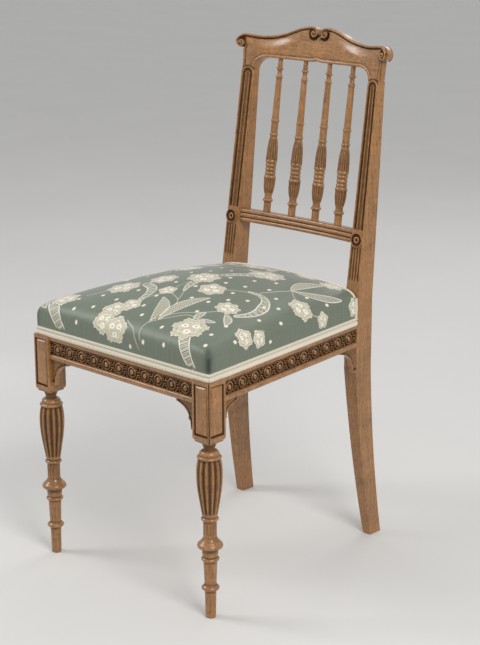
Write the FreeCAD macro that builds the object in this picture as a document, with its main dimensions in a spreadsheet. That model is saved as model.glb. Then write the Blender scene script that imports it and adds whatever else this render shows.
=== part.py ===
import FreeCAD, Part
import math
import os
from types import SimpleNamespace

import Sketcher

# Parlour side chair: turned and reeded front legs, sabre rear legs that run on as leaning stiles,
# a scrolled crest rail and a stay rail bowed to the sitter's back, four turned spindles, and a
# stuffed seat tacked over the rails and finished with a braid.
# Millimetres. +Z is up, the chair faces -Y, and the origin is on the floor under its middle.
# The working frame of the seat has y = 0 on the front legs' axes; every piece is moved back from
# it by the same amount, so that the origin falls in the middle of the chair's depth.
# The back has a frame of its own, which leans: "up" runs along the stiles from the seat, and
# "behind" is square to their front faces.

SIZES = {
    # front legs
    "leg_spread": 189.5,
    "block_width": 37.5,
    "block_drop": 53.5,
    "block_bevel": 6.0,
    "leg_girth": 42.0,
    "foot_girth": 16.0,
    "panel_top_gap": 7.0,
    "panel_edge": 3.5,
    "panel_channel": 5.0,
    "panel_sink": 2.0,
    "reed_cutter": 1.8,
    "reed_proud": 0.5,
    # seat frame
    "rail_top": 410.0,
    "rail_height": 52.5,
    "rail_thick": 22.0,
    "rail_setback": 3.0,
    "bead_height": 9.0,
    "bead_sink": 2.5,
    "frieze_height": 22.5,
    "frieze_sink": 6.0,
    "frieze_thick": 4.0,
    "tacking_height": 12.5,
    "tacking_sink": 3.5,
    "side_run_in": 40.0,
    "tenon_long": 14.0,
    "tenon_thick": 8.0,
    "tenon_shoulder": 6.0,
    "rear_rail_setback": 5.0,
    # rear posts
    "post_front": 389.0,
    "post_spread": 145.0,
    "post_inner": 12.0,
    "post_outer": 16.0,
    "post_top_outer": 9.6,
    "post_foot_inner": 3.0,
    "post_foot_outer": 20.0,
    "post_depth": 40.0,
    "post_top_depth": 20.0,
    "post_foot_front": 41.0,
    "post_foot_depth": 29.0,
    "knee_rise": 33.0,
    "back_angle": 7.8,
    # back
    "bow_radius": 745.0,
    "bow_depth": 17.0,
    "stay_low": 92.0,
    "stay_high": 116.0,
    "stay_thick": 19.0,
    "stay_reed_sink": 2.0,
    "crest_joint": 368.5,
    "crest_under": 390.5,
    "crest_rise": 59.0,
    "crest_half": 170.0,
    "crest_thick": 16.0,
    "crest_roll": 12.0,
    "crest_roll_long": 21.0,
    "volute": 6.5,
    "volute_proud": 1.5,
    "stile_tenon_long": 18.0,
    "stile_tenon_wide": 12.0,
    "channel_wide": 12.0,
    "channel_sink": 2.5,
    "channel_bead": 4.5,
    "flute_wide": 1.8,
    "flute_pitch": 4.2,
    "flute_low": 31.0,
    "flute_high": 86.0,
    "rosette_up": 102.0,
    "rosette_girth": 25.0,
    "rosette_thick": 4.5,
    "spindle_inner": 27.6,
    "spindle_outer": 83.4,
    "spindle_girth": 20.6,
    "spindle_tenon_girth": 8.6,
    "spindle_tenon": 10.0,
    # brackets and corner blocks
    "bracket_long": 39.0,
    "bracket_tall": 43.0,
    "bracket_thick": 10.0,
    "bracket_edge": 4.0,
    "corner_block_long": 48.0,
    "corner_block_tall": 30.0,
    # upholstery
    "web_wide": 50.0,
    "web_thick": 1.0,
    "web_pitch_across": 80.0,
    "web_pitch_along": 60.0,
    "web_first": 40.0,
    "hessian_thick": 0.8,
    "cover_thick": 2.0,
    "cover_lap": 12.0,
    "edge_rise": 58.0,
    "crown_rise": 28.0,
    "edge_round": 28.0,
    "edge_drop": 36.0,
    "gimp_high": 10.0,
    "gimp_thick": 2.2,
    "gimp_post_rise": 34.0,
    # fits
    "soft_gap": 0.3,
    "notch_gap": 0.5,
    "overrun": 4.0,
}

FULL_TURN = 360.0
REEDS_PER_LEG = 12
FLUTES_PER_STILE = 4
STAY_REEDS = 3
CROSS_WEBS = 4
LONG_WEBS = 4
REED_SWEEP = 25.0

# A turning is a table of (radius share, height share, bulge share). The radius is a share of half
# the turning's girth, the height a share of its length, and the bulge is how far the stretch that
# ends there swells out, as a share of its chord; a hollow is negative.
LEG_TURNING_SHARES = [
    (0.440, 0.151, 0.00),
    (0.500, 0.156, 0.00), (0.500, 0.184, 0.42),
    (0.430, 0.190, 0.00), (0.495, 0.316, 0.00),
    (0.500, 0.321, 0.00), (0.500, 0.348, 0.42),
    (0.600, 0.350, 0.00), (0.700, 0.372, 0.15),
    (0.700, 0.396, -0.25),
    (0.715, 0.399, 0.00), (0.715, 0.444, 0.38),
    (0.490, 0.453, 0.00), (0.490, 0.545, 0.00),
    (0.510, 0.547, 0.00), (0.510, 0.567, 0.42),
    (0.560, 0.577, 0.00), (0.790, 0.684, -0.06),
    (0.805, 0.882, 0.075),
    (0.760, 0.887, 0.00), (0.790, 0.888, 0.00), (0.790, 0.903, 0.35),
    (0.750, 0.907, 0.00), (0.760, 0.927, 0.40),
    (0.600, 0.931, 0.00), (0.780, 1.000, -0.08),
]
BULB_MIDDLE_SHARE = 0.783
REED_PATH_SHARE = 6.3

SPINDLE_TURNING_SHARES = [
    (0.592, 0.000, 0.00), (0.592, 0.078, 0.00),
    (0.640, 0.080, 0.00), (0.640, 0.106, 0.28),
    (0.592, 0.112, 0.00), (0.985, 0.211, 0.06), (0.680, 0.255, 0.15),
    (0.700, 0.257, 0.00), (0.700, 0.275, 0.38),
    (0.700, 0.280, 0.00), (0.700, 0.302, 0.33),
    (0.700, 0.308, 0.00), (0.700, 0.328, 0.36),
    (0.990, 0.364, 0.12), (0.610, 0.500, 0.06),
    (0.615, 0.503, 0.00), (0.615, 0.522, 0.25),
    (0.630, 0.600, 0.00), (0.630, 0.615, 0.20),
    (0.500, 0.872, 0.00), (0.500, 0.887, 0.25),
    (0.403, 0.892, 0.00), (0.403, 0.920, 0.00),
    (0.470, 0.922, 0.00), (0.470, 0.939, 0.40),
]

SPINDLE_NECK_SHARE = 0.945
ROSETTE_ACROSS_SHARE = 0.3
ROSETTE_TURNING_SHARES = [
    (1.00, 0.30, 0.0), (0.86, 0.75, 0.0), (0.72, 0.75, 0.35),
    (0.62, 0.45, 0.0), (0.30, 0.80, 0.20), (0.20, 1.00, 0.15), (0.10, 0.85, 0.2),
]

# Half of the crest's outline, from the notch between its two scrolls round to the middle of its
# underside: (share of the half width, share of the rise, bulge share). The rise is counted from
# the underside, so what hangs below it is negative.
CREST_OUTLINE_SHARES = [
    (0.036, 0.73, -0.25), (0.038, 0.89, 0.30), (0.124, 1.00, 0.16), (0.40, 0.775, 0.06),
    (0.665, 0.57, -0.06), (0.875, 0.60, -0.04),
]
CREST_SHOULDER_SHARES = [(0.908, 0.10, -0.20), (0.922, 0.0, 0.12), (0.910, -0.17, 0.08)]
CREST_ARCH_SHARE = 0.635
CREST_ARCH_BULGE_SHARE = -0.20
CREST_CUSP_SHARE = 0.105
CREST_CUSP_RISE_SHARE = 0.125
CREST_CUSP_BULGE_SHARE = 0.16
NOTCH_SHARE = 0.625
VOLUTE_ACROSS_SHARE = 0.078
VOLUTE_RISE_SHARE = 0.81

# The seat from its front edge to its back edge: (share of the depth, share of the edge's rise,
# share of the crown's rise).
SEAT_SECTION_SHARES = [
    (0.000, 0.33, 0.03), (0.006, 0.478, 0.06), (0.020, 0.656, 0.125), (0.045, 0.780, 0.218),
    (0.100, 0.877, 0.393), (0.250, 0.955, 0.761), (0.500, 1.000, 1.000), (0.750, 0.955, 0.761),
    (0.900, 0.877, 0.393), (0.955, 0.780, 0.218), (0.980, 0.656, 0.125), (1.000, 0.40, 0.05),
]
EDGE_ROUND_SHARE = 0.14
LEG_CURVE_SHARE = 0.016
REAR_CURVE_SHARE = 0.018
BRACKET_CURVE_SHARE = 0.22
STAY_REED_SHARE = 0.30
BEAD_ROUND_SHARE = 0.28


class Size:
    """A length as a number and as the expression that gives it from the sheet's cells."""

    def __init__(self, value, text):
        self.value = value
        self.text = text

    def __add__(self, other):
        other = as_size(other)
        return Size(self.value + other.value, f"({self.text} + {other.text})")

    def __sub__(self, other):
        other = as_size(other)
        return Size(self.value - other.value, f"({self.text} - {other.text})")

    def __mul__(self, other):
        other = as_size(other)
        return Size(self.value * other.value, f"({self.text} * {other.text})")

    def __truediv__(self, other):
        other = as_size(other)
        return Size(self.value / other.value, f"({self.text} / {other.text})")

    def __neg__(self):
        return self * -1

    __rmul__ = __mul__


def as_size(thing):
    return thing if isinstance(thing, Size) else Size(thing, f"({thing})")


def root(area):
    return Size(math.sqrt(area.value), f"sqrt({area.text})")


def half_angle(opposite, hypotenuse):
    """The angle in degrees whose sine is opposite over hypotenuse."""
    ratio = opposite / hypotenuse
    return Size(math.degrees(math.asin(ratio.value)), f"asin({ratio.text})")


doc = FreeCAD.newDocument("SideChair")
sheet = doc.addObject("Spreadsheet::Sheet", "Sizes")
for row, (alias, number) in enumerate(SIZES.items(), start=1):
    sheet.set(f"A{row}", alias)
    sheet.set(f"B{row}", str(number))
    sheet.setAlias(f"B{row}", alias)
doc.recompute()
size = SimpleNamespace(**{alias: Size(number, f"Sizes.{alias}") for alias, number in SIZES.items()})
ZERO = Size(0.0, "0")
lean_sine = Size(math.sin(math.radians(SIZES["back_angle"])), "sin(Sizes.back_angle)")
lean_cosine = Size(math.cos(math.radians(SIZES["back_angle"])), "cos(Sizes.back_angle)")
nodes = []


# Bodies, sketches and features

def new_body(label, across=ZERO, along=ZERO, up=ZERO, leaning=False):
    """A body whose Placement moves the seat's frame so that the origin is under the chair's middle."""
    body = doc.addObject("PartDesign::Body", label)
    body.Label = label
    turn = FreeCAD.Rotation(FreeCAD.Vector(1, 0, 0), -SIZES["back_angle"] if leaning else 0.0)
    body.Placement = FreeCAD.Placement(FreeCAD.Vector(0, 0, 0), turn)
    places = {"x": across, "y": along - middle_depth, "z": up}
    for axis, place in places.items():
        body.setExpression(f"Placement.Base.{axis}", place.text)
    if leaning:
        body.setExpression("Placement.Rotation.Angle", "-Sizes.back_angle")
    nodes.append(body)
    return body


def back_body(label, across=ZERO, up=ZERO, behind=ZERO):
    """A body of the leaning back, whose own frame starts at the given place of the back's frame."""
    along, height = leaned(up, behind)
    return new_body(label, across, along, height, leaning=True)


def leaned(up, behind):
    """A place of the back's frame as (y, z) of the seat's frame."""
    along = size.post_front + up * lean_sine + behind * lean_cosine
    height = seat_level + up * lean_cosine - behind * lean_sine
    return along, height


def origin_feature(body, role):
    return next(feature for feature in body.Origin.OriginFeatures if feature.Role == role)


def new_sketch(body, role, offset=ZERO):
    """A sketch on one of the body's own planes, moved along that plane's normal by offset."""
    sketch = body.newObject("Sketcher::SketchObject", "Outline")
    sketch.AttachmentSupport = (origin_feature(body, role), [""])
    sketch.MapMode = "FlatFace"
    sketch.setExpression("AttachmentOffset.Base.z", offset.text)
    return sketch


def bind(sketch, constraint, name, wanted):
    index = sketch.addConstraint(constraint)
    sketch.renameConstraint(index, name)
    sketch.setExpression(f"Constraints.{name}", wanted.text)


def bulge_radius(start, end, share):
    """The radius of an arc over the chord from start to end that swells by share of the chord."""
    across = end[0] - start[0]
    up = end[1] - start[1]
    chord = root(across * across + up * up)
    steepness = abs(share)
    return chord * (1 / (8 * steepness) + steepness / 2)


def add_arc(sketch, start, end, radius, left):
    """An arc that swells to the left or right of its travel; returns its index and its two ends."""
    first = FreeCAD.Vector(start[0].value, start[1].value, 0)
    last = FreeCAD.Vector(end[0].value, end[1].value, 0)
    chord = last - first
    to_left = FreeCAD.Vector(-chord.y, chord.x, 0).normalize()
    inward = -1 if left else 1
    reach = math.sqrt(max(radius.value ** 2 - chord.Length ** 2 / 4, 0))
    centre = (first + last) * 0.5 + to_left * (inward * reach)
    ends = (2, 1) if left else (1, 2)
    anticlockwise = (last, first) if left else (first, last)
    angles = [math.atan2(p.y - centre.y, p.x - centre.x) for p in anticlockwise]
    circle = Part.Circle(centre, FreeCAD.Vector(0, 0, 1), radius.value)
    return sketch.addGeometry(Part.ArcOfCircle(circle, *angles)), ends


def draw(sketch, points):
    """A closed outline. A point is (across, up) or (across, up, bulge): the bulge, a share of the
    chord or a Size for a radius, makes the stretch that ends there an arc. It swells to the left
    of the travel where it is positive."""
    count = len(points)
    stretches = []
    for index, point in enumerate(points):
        start = points[index - 1]
        bulge = point[2] if len(point) > 2 else 0
        if isinstance(bulge, Size):
            left = bulge.value > 0
            radius = bulge if left else -bulge
        elif bulge:
            radius, left = bulge_radius(start, point, bulge), bulge > 0
        else:
            line = [FreeCAD.Vector(p[0].value, p[1].value, 0) for p in (start, point)]
            stretches.append((sketch.addGeometry(Part.LineSegment(*line)), (1, 2)))
            continue
        arc, ends = add_arc(sketch, start, point, radius, left)
        bind(sketch, Sketcher.Constraint("Radius", arc, radius.value), f"round{arc}", radius)
        stretches.append((arc, ends))
    for index in range(count):
        before, before_ends = stretches[index]
        after, after_ends = stretches[(index + 1) % count]
        join = Sketcher.Constraint("Coincident", before, before_ends[1], after, after_ends[0])
        sketch.addConstraint(join)
    for (geometry, ends), point in zip(stretches, points):
        pin(sketch, geometry, ends[1], point)


def pin(sketch, geometry, end, point):
    """Ties one point of the sketch to its two sizes, counted from the sketch's origin."""
    kinds = [("DistanceX", "across", point[0], -2), ("DistanceY", "up", point[1], -1)]
    for kind, word, wanted, axis in kinds:
        if wanted.text == ZERO.text:
            sketch.addConstraint(Sketcher.Constraint("PointOnObject", geometry, end, axis))
        else:
            distance = Sketcher.Constraint(kind, -1, 1, geometry, end, wanted.value)
            bind(sketch, distance, f"{word}{geometry}_{end}", wanted)


def draw_circle(sketch, across, up, radius):
    centre = FreeCAD.Vector(across.value, up.value, 0)
    circle = sketch.addGeometry(Part.Circle(centre, FreeCAD.Vector(0, 0, 1), radius.value))
    bind(sketch, Sketcher.Constraint("Radius", circle, radius.value), f"round{circle}", radius)
    pin(sketch, circle, 3, (across, up))


def prism(body, kind, role, middle, depth, outlines=(), circles=()):
    """A Pad or Pocket of some outlines and circles, as deep each way from the plane at middle."""
    sketch = new_sketch(body, role, middle)
    for points in outlines:
        draw(sketch, points)
    for circle in circles:
        draw_circle(sketch, *circle)
    feature = body.newObject(f"PartDesign::{kind}", kind)
    feature.Profile = sketch
    feature.SideType = "Symmetric"
    feature.setExpression("Length", depth.text)
    return feature


def turned(body, role, points):
    """A solid of revolution about the sketch's own upright axis."""
    sketch = new_sketch(body, role)
    draw(sketch, points)
    feature = body.newObject("PartDesign::Revolution", "Turning")
    feature.Profile = sketch
    feature.ReferenceAxis = (sketch, ["V_Axis"])
    feature.Angle = FULL_TURN
    return feature


def loft(body, kind, role, sections, ruled):
    """A loft through outlines that lie at their own offsets from one plane."""
    sketches = []
    for offset, points in sections:
        sketch = new_sketch(body, role, offset)
        draw(sketch, points)
        sketches.append(sketch)
    feature = body.newObject(f"PartDesign::{kind}", kind)
    feature.Profile = sketches[0]
    feature.Sections = sketches[1:]
    feature.Ruled = ruled
    return feature


def box_outline(left, right, low, high):
    return [(left, low), (right, low), (right, high), (left, high)]


def mirrored(points, side):
    """The outline as it is for side 1, and turned left for right for side -1."""
    flipped = []
    for point in points:
        bulge = point[2] * side if len(point) > 2 else 0
        flipped.append((point[0] * side, point[1], bulge))
    return flipped


def turning_points(shares, girth, long, start=ZERO):
    """A turning's table as points of its half section; its outside is right of the travel."""
    points = []
    for radius_share, height_share, bulge_share in shares:
        radius = girth / 2 * radius_share
        points.append((radius, start + long * height_share, -bulge_share))
    return points


# Sizes that several pieces share

half_block = size.block_width / 2
rail_bottom = size.rail_top - size.rail_height
block_bottom = rail_bottom - size.block_drop
seat_level = size.rail_top + size.knee_rise
cover_drop = size.rail_top - size.cover_lap
crest_top = size.crest_under + size.crest_rise
crest_back = size.bow_depth + size.crest_thick
volute_up = size.crest_under + size.crest_rise * VOLUTE_RISE_SHARE
back_reach = leaned(volute_up + size.volute, crest_back + size.volute_proud)[0]
middle_depth = (back_reach - size.leg_girth / 2) / 2

rail_face = -half_block + size.rail_setback
rail_inner = rail_face + size.rail_thick
block_inner = size.leg_spread - half_block
side_face_front = size.leg_spread + half_block - size.rail_setback * 2
frieze_bottom = rail_bottom + size.bead_height
frieze_top = frieze_bottom + size.frieze_height
tacking_bottom = size.rail_top - size.tacking_height
side_run = size.post_front - half_block
run_in_slope = size.side_run_in / side_run
post_inner_face = size.post_spread - size.post_inner
rear_rail_front = size.post_front + size.rear_rail_setback
rear_rail_back = rear_rail_front + size.rail_thick
rear_face = rear_rail_back - size.tacking_sink
bracket_low = rail_bottom - size.bracket_tall
tenon_low = rail_bottom + size.tenon_shoulder
tenon_high = tacking_bottom - size.tenon_shoulder
front_tenon_middle = rail_face + size.frieze_sink + size.tenon_thick / 2
side_tenon_middle = side_face_front - size.frieze_sink - size.tenon_thick
post_tenon_middle = size.post_spread + size.post_outer - size.frieze_sink - size.tenon_thick / 2
rear_tenon_middle = rear_rail_front + size.rail_thick / 2
stay_middle = (size.stay_low + size.stay_high) / 2
stay_height = size.stay_high - size.stay_low
stile_tenon_middle = (size.post_top_outer - size.post_inner) / 2
stile_tenon_behind = size.post_top_depth / 2
hessian_low = size.rail_top + size.web_thick * 2
stuffing_low = hessian_low + size.hessian_thick + size.soft_gap


def side_face(along):
    """Half the seat's width at a distance behind the front legs' axes, over the rails' faces."""
    return side_face_front - (along - half_block) * run_in_slope


def bow_behind(across, radius, middle):
    """How far behind the stiles' fronts a curve of the bowed back lies, away from its middle."""
    return middle - radius + root(radius * radius - across * across)


# Front legs

def front_leg(label, side):
    """A turned leg under a square block, with sunk frames round two raised panels, and mortises."""
    leg = new_body(label, size.leg_spread * side)
    profile = [(ZERO, ZERO), (size.foot_girth / 2, ZERO)]
    profile += turning_points(LEG_TURNING_SHARES, size.leg_girth, block_bottom)
    profile.append((ZERO, block_bottom))
    turned(leg, "XZ_Plane", profile)
    reed_leg(leg)
    bevel_top = block_bottom + size.block_bevel
    waist = half_block - size.block_bevel / 2
    squares = [
        (block_bottom, box_outline(-waist, waist, -waist, waist)),
        (bevel_top, box_outline(-half_block, half_block, -half_block, half_block)),
    ]
    loft(leg, "AdditiveLoft", "XY_Plane", squares, ruled=True)
    block_height = size.rail_top - bevel_top
    square = box_outline(-half_block, half_block, -half_block, half_block)
    prism(leg, "Pad", "XY_Plane", bevel_top + block_height / 2, block_height, [square])
    panel_low = bevel_top + size.panel_edge / 2
    panel_high = tacking_bottom - size.panel_top_gap
    reach = half_block - size.panel_edge
    inner_reach = reach - size.panel_channel
    frame = [
        box_outline(-reach, reach, panel_low, panel_high),
        box_outline(-inner_reach, inner_reach, panel_low + size.panel_channel,
                    panel_high - size.panel_channel),
    ]
    prism(leg, "Pocket", "XZ_Plane", half_block, size.panel_sink * 2, frame)
    prism(leg, "Pocket", "YZ_Plane", half_block * side, size.panel_sink * 2, frame)
    tacking_middle = size.rail_top - size.tacking_height / 2
    front_ledge = rail_face + size.tacking_sink
    side_ledge = side_face(half_block) - size.tacking_sink - size.leg_spread
    front_cut = box_outline(-half_block, half_block, -half_block, front_ledge)
    side_cut = mirrored(box_outline(side_ledge, half_block, front_ledge, half_block), side)
    for cut in (front_cut, side_cut):
        prism(leg, "Pocket", "XY_Plane", tacking_middle, size.tacking_height, [cut])
    mortise = box_outline(front_tenon_middle - size.tenon_thick / 2,
                          front_tenon_middle + size.tenon_thick / 2, tenon_low, tenon_high)
    mortise_middle = (size.tenon_long / 2 - half_block) * side
    prism(leg, "Pocket", "YZ_Plane", mortise_middle, size.tenon_long, [mortise])
    tenon_across = side_tenon_middle - size.leg_spread
    mortise = mirrored(box_outline(tenon_across - size.tenon_thick / 2,
                                   tenon_across + size.tenon_thick / 2, tenon_low, tenon_high), side)
    prism(leg, "Pocket", "XZ_Plane", size.tenon_long / 2 - half_block, size.tenon_long, [mortise])
    return leg


def reed_leg(leg):
    """Hollows between the bulb's reeds: a ring cutter follows the bulb's swell, repeated round it."""
    bulb_middle = block_bottom * BULB_MIDDLE_SHARE
    path_radius = size.leg_girth / 2 * REED_PATH_SHARE
    cutter_place = size.leg_girth / 2 + size.reed_proud
    sketch = new_sketch(leg, "XY_Plane", bulb_middle)
    draw_circle(sketch, cutter_place, ZERO, size.reed_cutter)
    pivot = cutter_place - path_radius
    ends = [FreeCAD.Vector(pivot.value, y, 0) for y in (0.0, size.leg_girth.value)]
    axis = sketch.addGeometry(Part.LineSegment(*ends), True)
    pin(sketch, axis, 1, (pivot, ZERO))
    pin(sketch, axis, 2, (pivot, size.leg_girth))
    groove = leg.newObject("PartDesign::Groove", "Reed")
    groove.Profile = sketch
    groove.ReferenceAxis = (sketch, ["Axis0"])
    groove.Midplane = True
    groove.Angle = REED_SWEEP
    pattern = leg.newObject("PartDesign::PolarPattern", "Reeds")
    pattern.Originals = [groove]
    pattern.Axis = (origin_feature(leg, "Z_Axis"), [""])
    pattern.Angle = FULL_TURN
    pattern.Occurrences = REEDS_PER_LEG
    leg.Tip = pattern


# Seat frame

def rail_section(face, inward):
    """A rail's section from its face: a bead, the frieze's sunk bed, a fillet and a tacking ledge.
    inward is 1 where the rail lies on the larger side of its face, and -1 where it lies on the other."""
    back = face + size.rail_thick * inward
    bed = face + size.frieze_sink * inward
    ledge = face + size.tacking_sink * inward
    bead = face + size.bead_sink * inward
    return [
        (back, size.rail_top), (back, rail_bottom), (bead, rail_bottom),
        (bead, frieze_bottom, -BEAD_ROUND_SHARE * inward), (bed, frieze_bottom), (bed, frieze_top),
        (face, frieze_top), (face, tacking_bottom), (ledge, tacking_bottom), (ledge, size.rail_top),
    ]


def front_rail():
    rail = new_body("front_rail")
    prism(rail, "Pad", "YZ_Plane", ZERO, block_inner * 2, [rail_section(rail_face, 1)])
    low_high = (tenon_low, tenon_high)
    tenon = box_outline(front_tenon_middle - size.tenon_thick / 2,
                        front_tenon_middle + size.tenon_thick / 2, *low_high)
    prism(rail, "Pad", "YZ_Plane", ZERO, (block_inner + size.tenon_long) * 2, [tenon])


def side_rail(label, side):
    """A rail that runs in towards the back, square-ended against the block and the post."""
    rail = new_body(label)
    sections = []
    for along in (half_block, size.post_front):
        sections.append((-along, mirrored(rail_section(side_face(along), -1), side)))
    loft(rail, "AdditiveLoft", "XZ_Plane", sections, ruled=True)
    places = [(side_tenon_middle, half_block - size.tenon_long / 2),
              (post_tenon_middle, size.post_front + size.tenon_long / 2)]
    for across, along in places:
        tenon = box_outline(across - size.tenon_thick / 2, across + size.tenon_thick / 2,
                            tenon_low, tenon_high)
        prism(rail, "Pad", "XZ_Plane", -along, size.tenon_long, [mirrored(tenon, side)])


def rear_rail():
    rail = new_body("rear_rail")
    section = [
        (rear_rail_front, rail_bottom), (rear_rail_back, rail_bottom),
        (rear_rail_back, tacking_bottom), (rear_face, tacking_bottom),
        (rear_face, size.rail_top), (rear_rail_front, size.rail_top),
    ]
    prism(rail, "Pad", "YZ_Plane", ZERO, post_inner_face * 2, [section])
    tenon = box_outline(rear_tenon_middle - size.tenon_thick / 2,
                        rear_tenon_middle + size.tenon_thick / 2, tenon_low, tenon_high)
    prism(rail, "Pad", "YZ_Plane", ZERO, (post_inner_face + size.tenon_long / 2) * 2, [tenon])


def friezes():
    """The strips that carry the carved rings, bedded in the rails' faces."""
    bed = rail_face + size.frieze_sink
    strip = new_body("front_frieze")
    section = box_outline(bed - size.frieze_thick, bed, frieze_bottom, frieze_top)
    prism(strip, "Pad", "YZ_Plane", ZERO, block_inner * 2, [section])
    for label, side in (("left_frieze", -1), ("right_frieze", 1)):
        strip = new_body(label)
        sections = []
        for along in (half_block, size.post_front):
            bed = side_face(along) - size.frieze_sink
            section = box_outline(bed, bed + size.frieze_thick, frieze_bottom, frieze_top)
            sections.append((-along, mirrored(section, side)))
        loft(strip, "AdditiveLoft", "XZ_Plane", sections, ruled=True)


def bracket_outline(corner, inward):
    """A quarter-hollow spandrel from the corner of a rail and an upright; inward is its direction."""
    tip = corner + size.bracket_long * inward
    toe = corner + size.bracket_edge * inward
    return [
        (corner, bracket_low), (corner, rail_bottom), (tip, rail_bottom),
        (tip, rail_bottom - size.bracket_edge),
        (toe, bracket_low, -BRACKET_CURVE_SHARE * inward),
    ]


def brackets():
    front_middle = rail_face + size.rail_thick / 2
    for label, side in (("front_bracket_left", -1), ("front_bracket_right", 1)):
        bracket = new_body(label)
        outline = mirrored(bracket_outline(block_inner, -1), side)
        prism(bracket, "Pad", "XZ_Plane", -front_middle, size.bracket_thick, [outline])
    ends = [("front", half_block, 1), ("rear", size.post_front, -1)]
    for label, side in (("left_bracket", -1), ("right_bracket", 1)):
        for end, corner, inward in ends:
            bracket = new_body(f"{label}_{end}")
            along = corner + size.bracket_long / 2 * inward
            across = (side_face(along) - size.rail_thick / 2) * side
            outline = bracket_outline(corner, inward)
            prism(bracket, "Pad", "YZ_Plane", across, size.bracket_thick, [outline])


def corner_blocks():
    """Glue blocks across the frame's inside corners, notched round the legs and posts."""
    middle = tacking_bottom - size.corner_block_tall / 2
    for word, side in (("left", -1), ("right", 1)):
        block = new_body(f"corner_block_front_{word}")
        far = half_block + size.corner_block_long
        outline = [
            (block_inner - size.corner_block_long, rail_inner), (block_inner, rail_inner),
            (block_inner, half_block), (side_face(half_block) - size.rail_thick, half_block),
            (side_face(far) - size.rail_thick, far),
        ]
        prism(block, "Pad", "XY_Plane", middle, size.corner_block_tall, [mirrored(outline, side)])
        block = new_body(f"corner_block_rear_{word}")
        near = size.post_front - size.corner_block_long
        outline = [
            (post_inner_face - size.corner_block_long, rear_rail_front),
            (side_face(near) - size.rail_thick, near),
            (side_face(size.post_front) - size.rail_thick, size.post_front),
            (post_inner_face, size.post_front), (post_inner_face, rear_rail_front),
        ]
        prism(block, "Pad", "XY_Plane", middle, size.corner_block_tall, [mirrored(outline, side)])


# Rear posts

def rear_post(label, side):
    """A sabre leg and a leaning stile in one: its side outline, trimmed to its front outline."""
    post = new_body(label, size.post_spread * side)
    foot_front = size.post_front + size.post_foot_front
    back = size.post_front + size.post_depth
    side_view = [
        (foot_front, ZERO, -LEG_CURVE_SHARE), (foot_front + size.post_foot_depth, ZERO),
        (back, bracket_low, REAR_CURVE_SHARE), (back, seat_level),
        leaned(size.crest_joint, size.post_top_depth), leaned(size.crest_joint, ZERO),
        (size.post_front, seat_level), (size.post_front, bracket_low),
    ]
    prism(post, "Pad", "YZ_Plane", ZERO, size.post_foot_outer * 2, [side_view])
    top = leaned(size.crest_joint, ZERO)[1]
    front_view = [
        (size.post_foot_inner, ZERO), (size.post_foot_outer, ZERO),
        (size.post_outer, bracket_low), (size.post_outer, seat_level),
        (size.post_top_outer, top), (-size.post_inner, top), (-size.post_inner, bracket_low),
    ]
    wide = size.post_foot_outer + size.overrun
    around = box_outline(-wide, wide, -size.overrun, top + size.overrun)
    through = (back_reach + size.overrun) * 2
    prism(post, "Pocket", "XZ_Plane", ZERO, through, [around, mirrored(front_view, side)])
    tenon_front = stile_tenon_behind - size.tenon_thick / 2
    tenon_back = stile_tenon_behind + size.tenon_thick / 2
    tip = size.crest_joint + size.stile_tenon_long
    tenon = [leaned(size.crest_joint, tenon_front), leaned(size.crest_joint, tenon_back),
             leaned(tip, tenon_back), leaned(tip, tenon_front)]
    prism(post, "Pad", "YZ_Plane", stile_tenon_middle * side, size.stile_tenon_wide, [tenon])
    cut_stile(post, side)
    cut_post_mortises(post, side)


def cut_stile(post, side):
    """The long sunk channel with its bead, and the short flutes, on the stile's front."""
    low = size.rosette_up + size.rosette_girth / 2 + size.overrun
    high = size.crest_joint - size.overrun
    centre = stile_tenon_middle * side

    def strip(start, end, front, behind):
        return [leaned(start, front), leaned(start, behind), leaned(end, behind), leaned(end, front)]

    channel = strip(low, high, -size.overrun, size.channel_sink)
    prism(post, "Pocket", "YZ_Plane", centre, size.channel_wide, [channel])
    bead = strip(low, high - size.channel_bead, size.channel_sink / 2, size.channel_sink)
    prism(post, "Pad", "YZ_Plane", centre, size.channel_bead, [bead])
    flute = strip(size.flute_low, size.flute_high, -size.overrun, size.flute_wide)
    first = (size.post_outer - size.post_inner) / 2 * side
    for count in range(FLUTES_PER_STILE):
        step = count - (FLUTES_PER_STILE - 1) / 2
        prism(post, "Pocket", "YZ_Plane", first + size.flute_pitch * step, size.flute_wide, [flute])


def cut_post_mortises(post, side):
    half_thick = size.tenon_thick / 2
    across = (post_tenon_middle - size.post_spread) * side
    mortise = box_outline(across - half_thick, across + half_thick, tenon_low, tenon_high)
    along = size.post_front + size.tenon_long / 2
    prism(post, "Pocket", "XZ_Plane", -along, size.tenon_long, [mortise])
    mortise = box_outline(rear_tenon_middle - half_thick, rear_tenon_middle + half_thick,
                          tenon_low, tenon_high)
    depth = size.tenon_long / 2
    inside = (depth / 2 - size.post_inner) * side
    prism(post, "Pocket", "YZ_Plane", inside, depth, [mortise])
    front, behind = stay_tenon_places()
    low = size.stay_low + size.tenon_shoulder
    high = size.stay_high - size.tenon_shoulder
    mortise = [leaned(low, front), leaned(low, behind), leaned(high, behind), leaned(high, front)]
    prism(post, "Pocket", "YZ_Plane", inside, depth, [mortise])


# Back

def stay_tenon_places():
    """The front and back of the stay rail's tenons, behind the stiles' fronts."""
    surface = bow_behind(post_inner_face, size.bow_radius, size.bow_depth)
    front = surface + size.stay_reed_sink + size.tenon_thick / 4
    return front, front + size.tenon_thick


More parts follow.
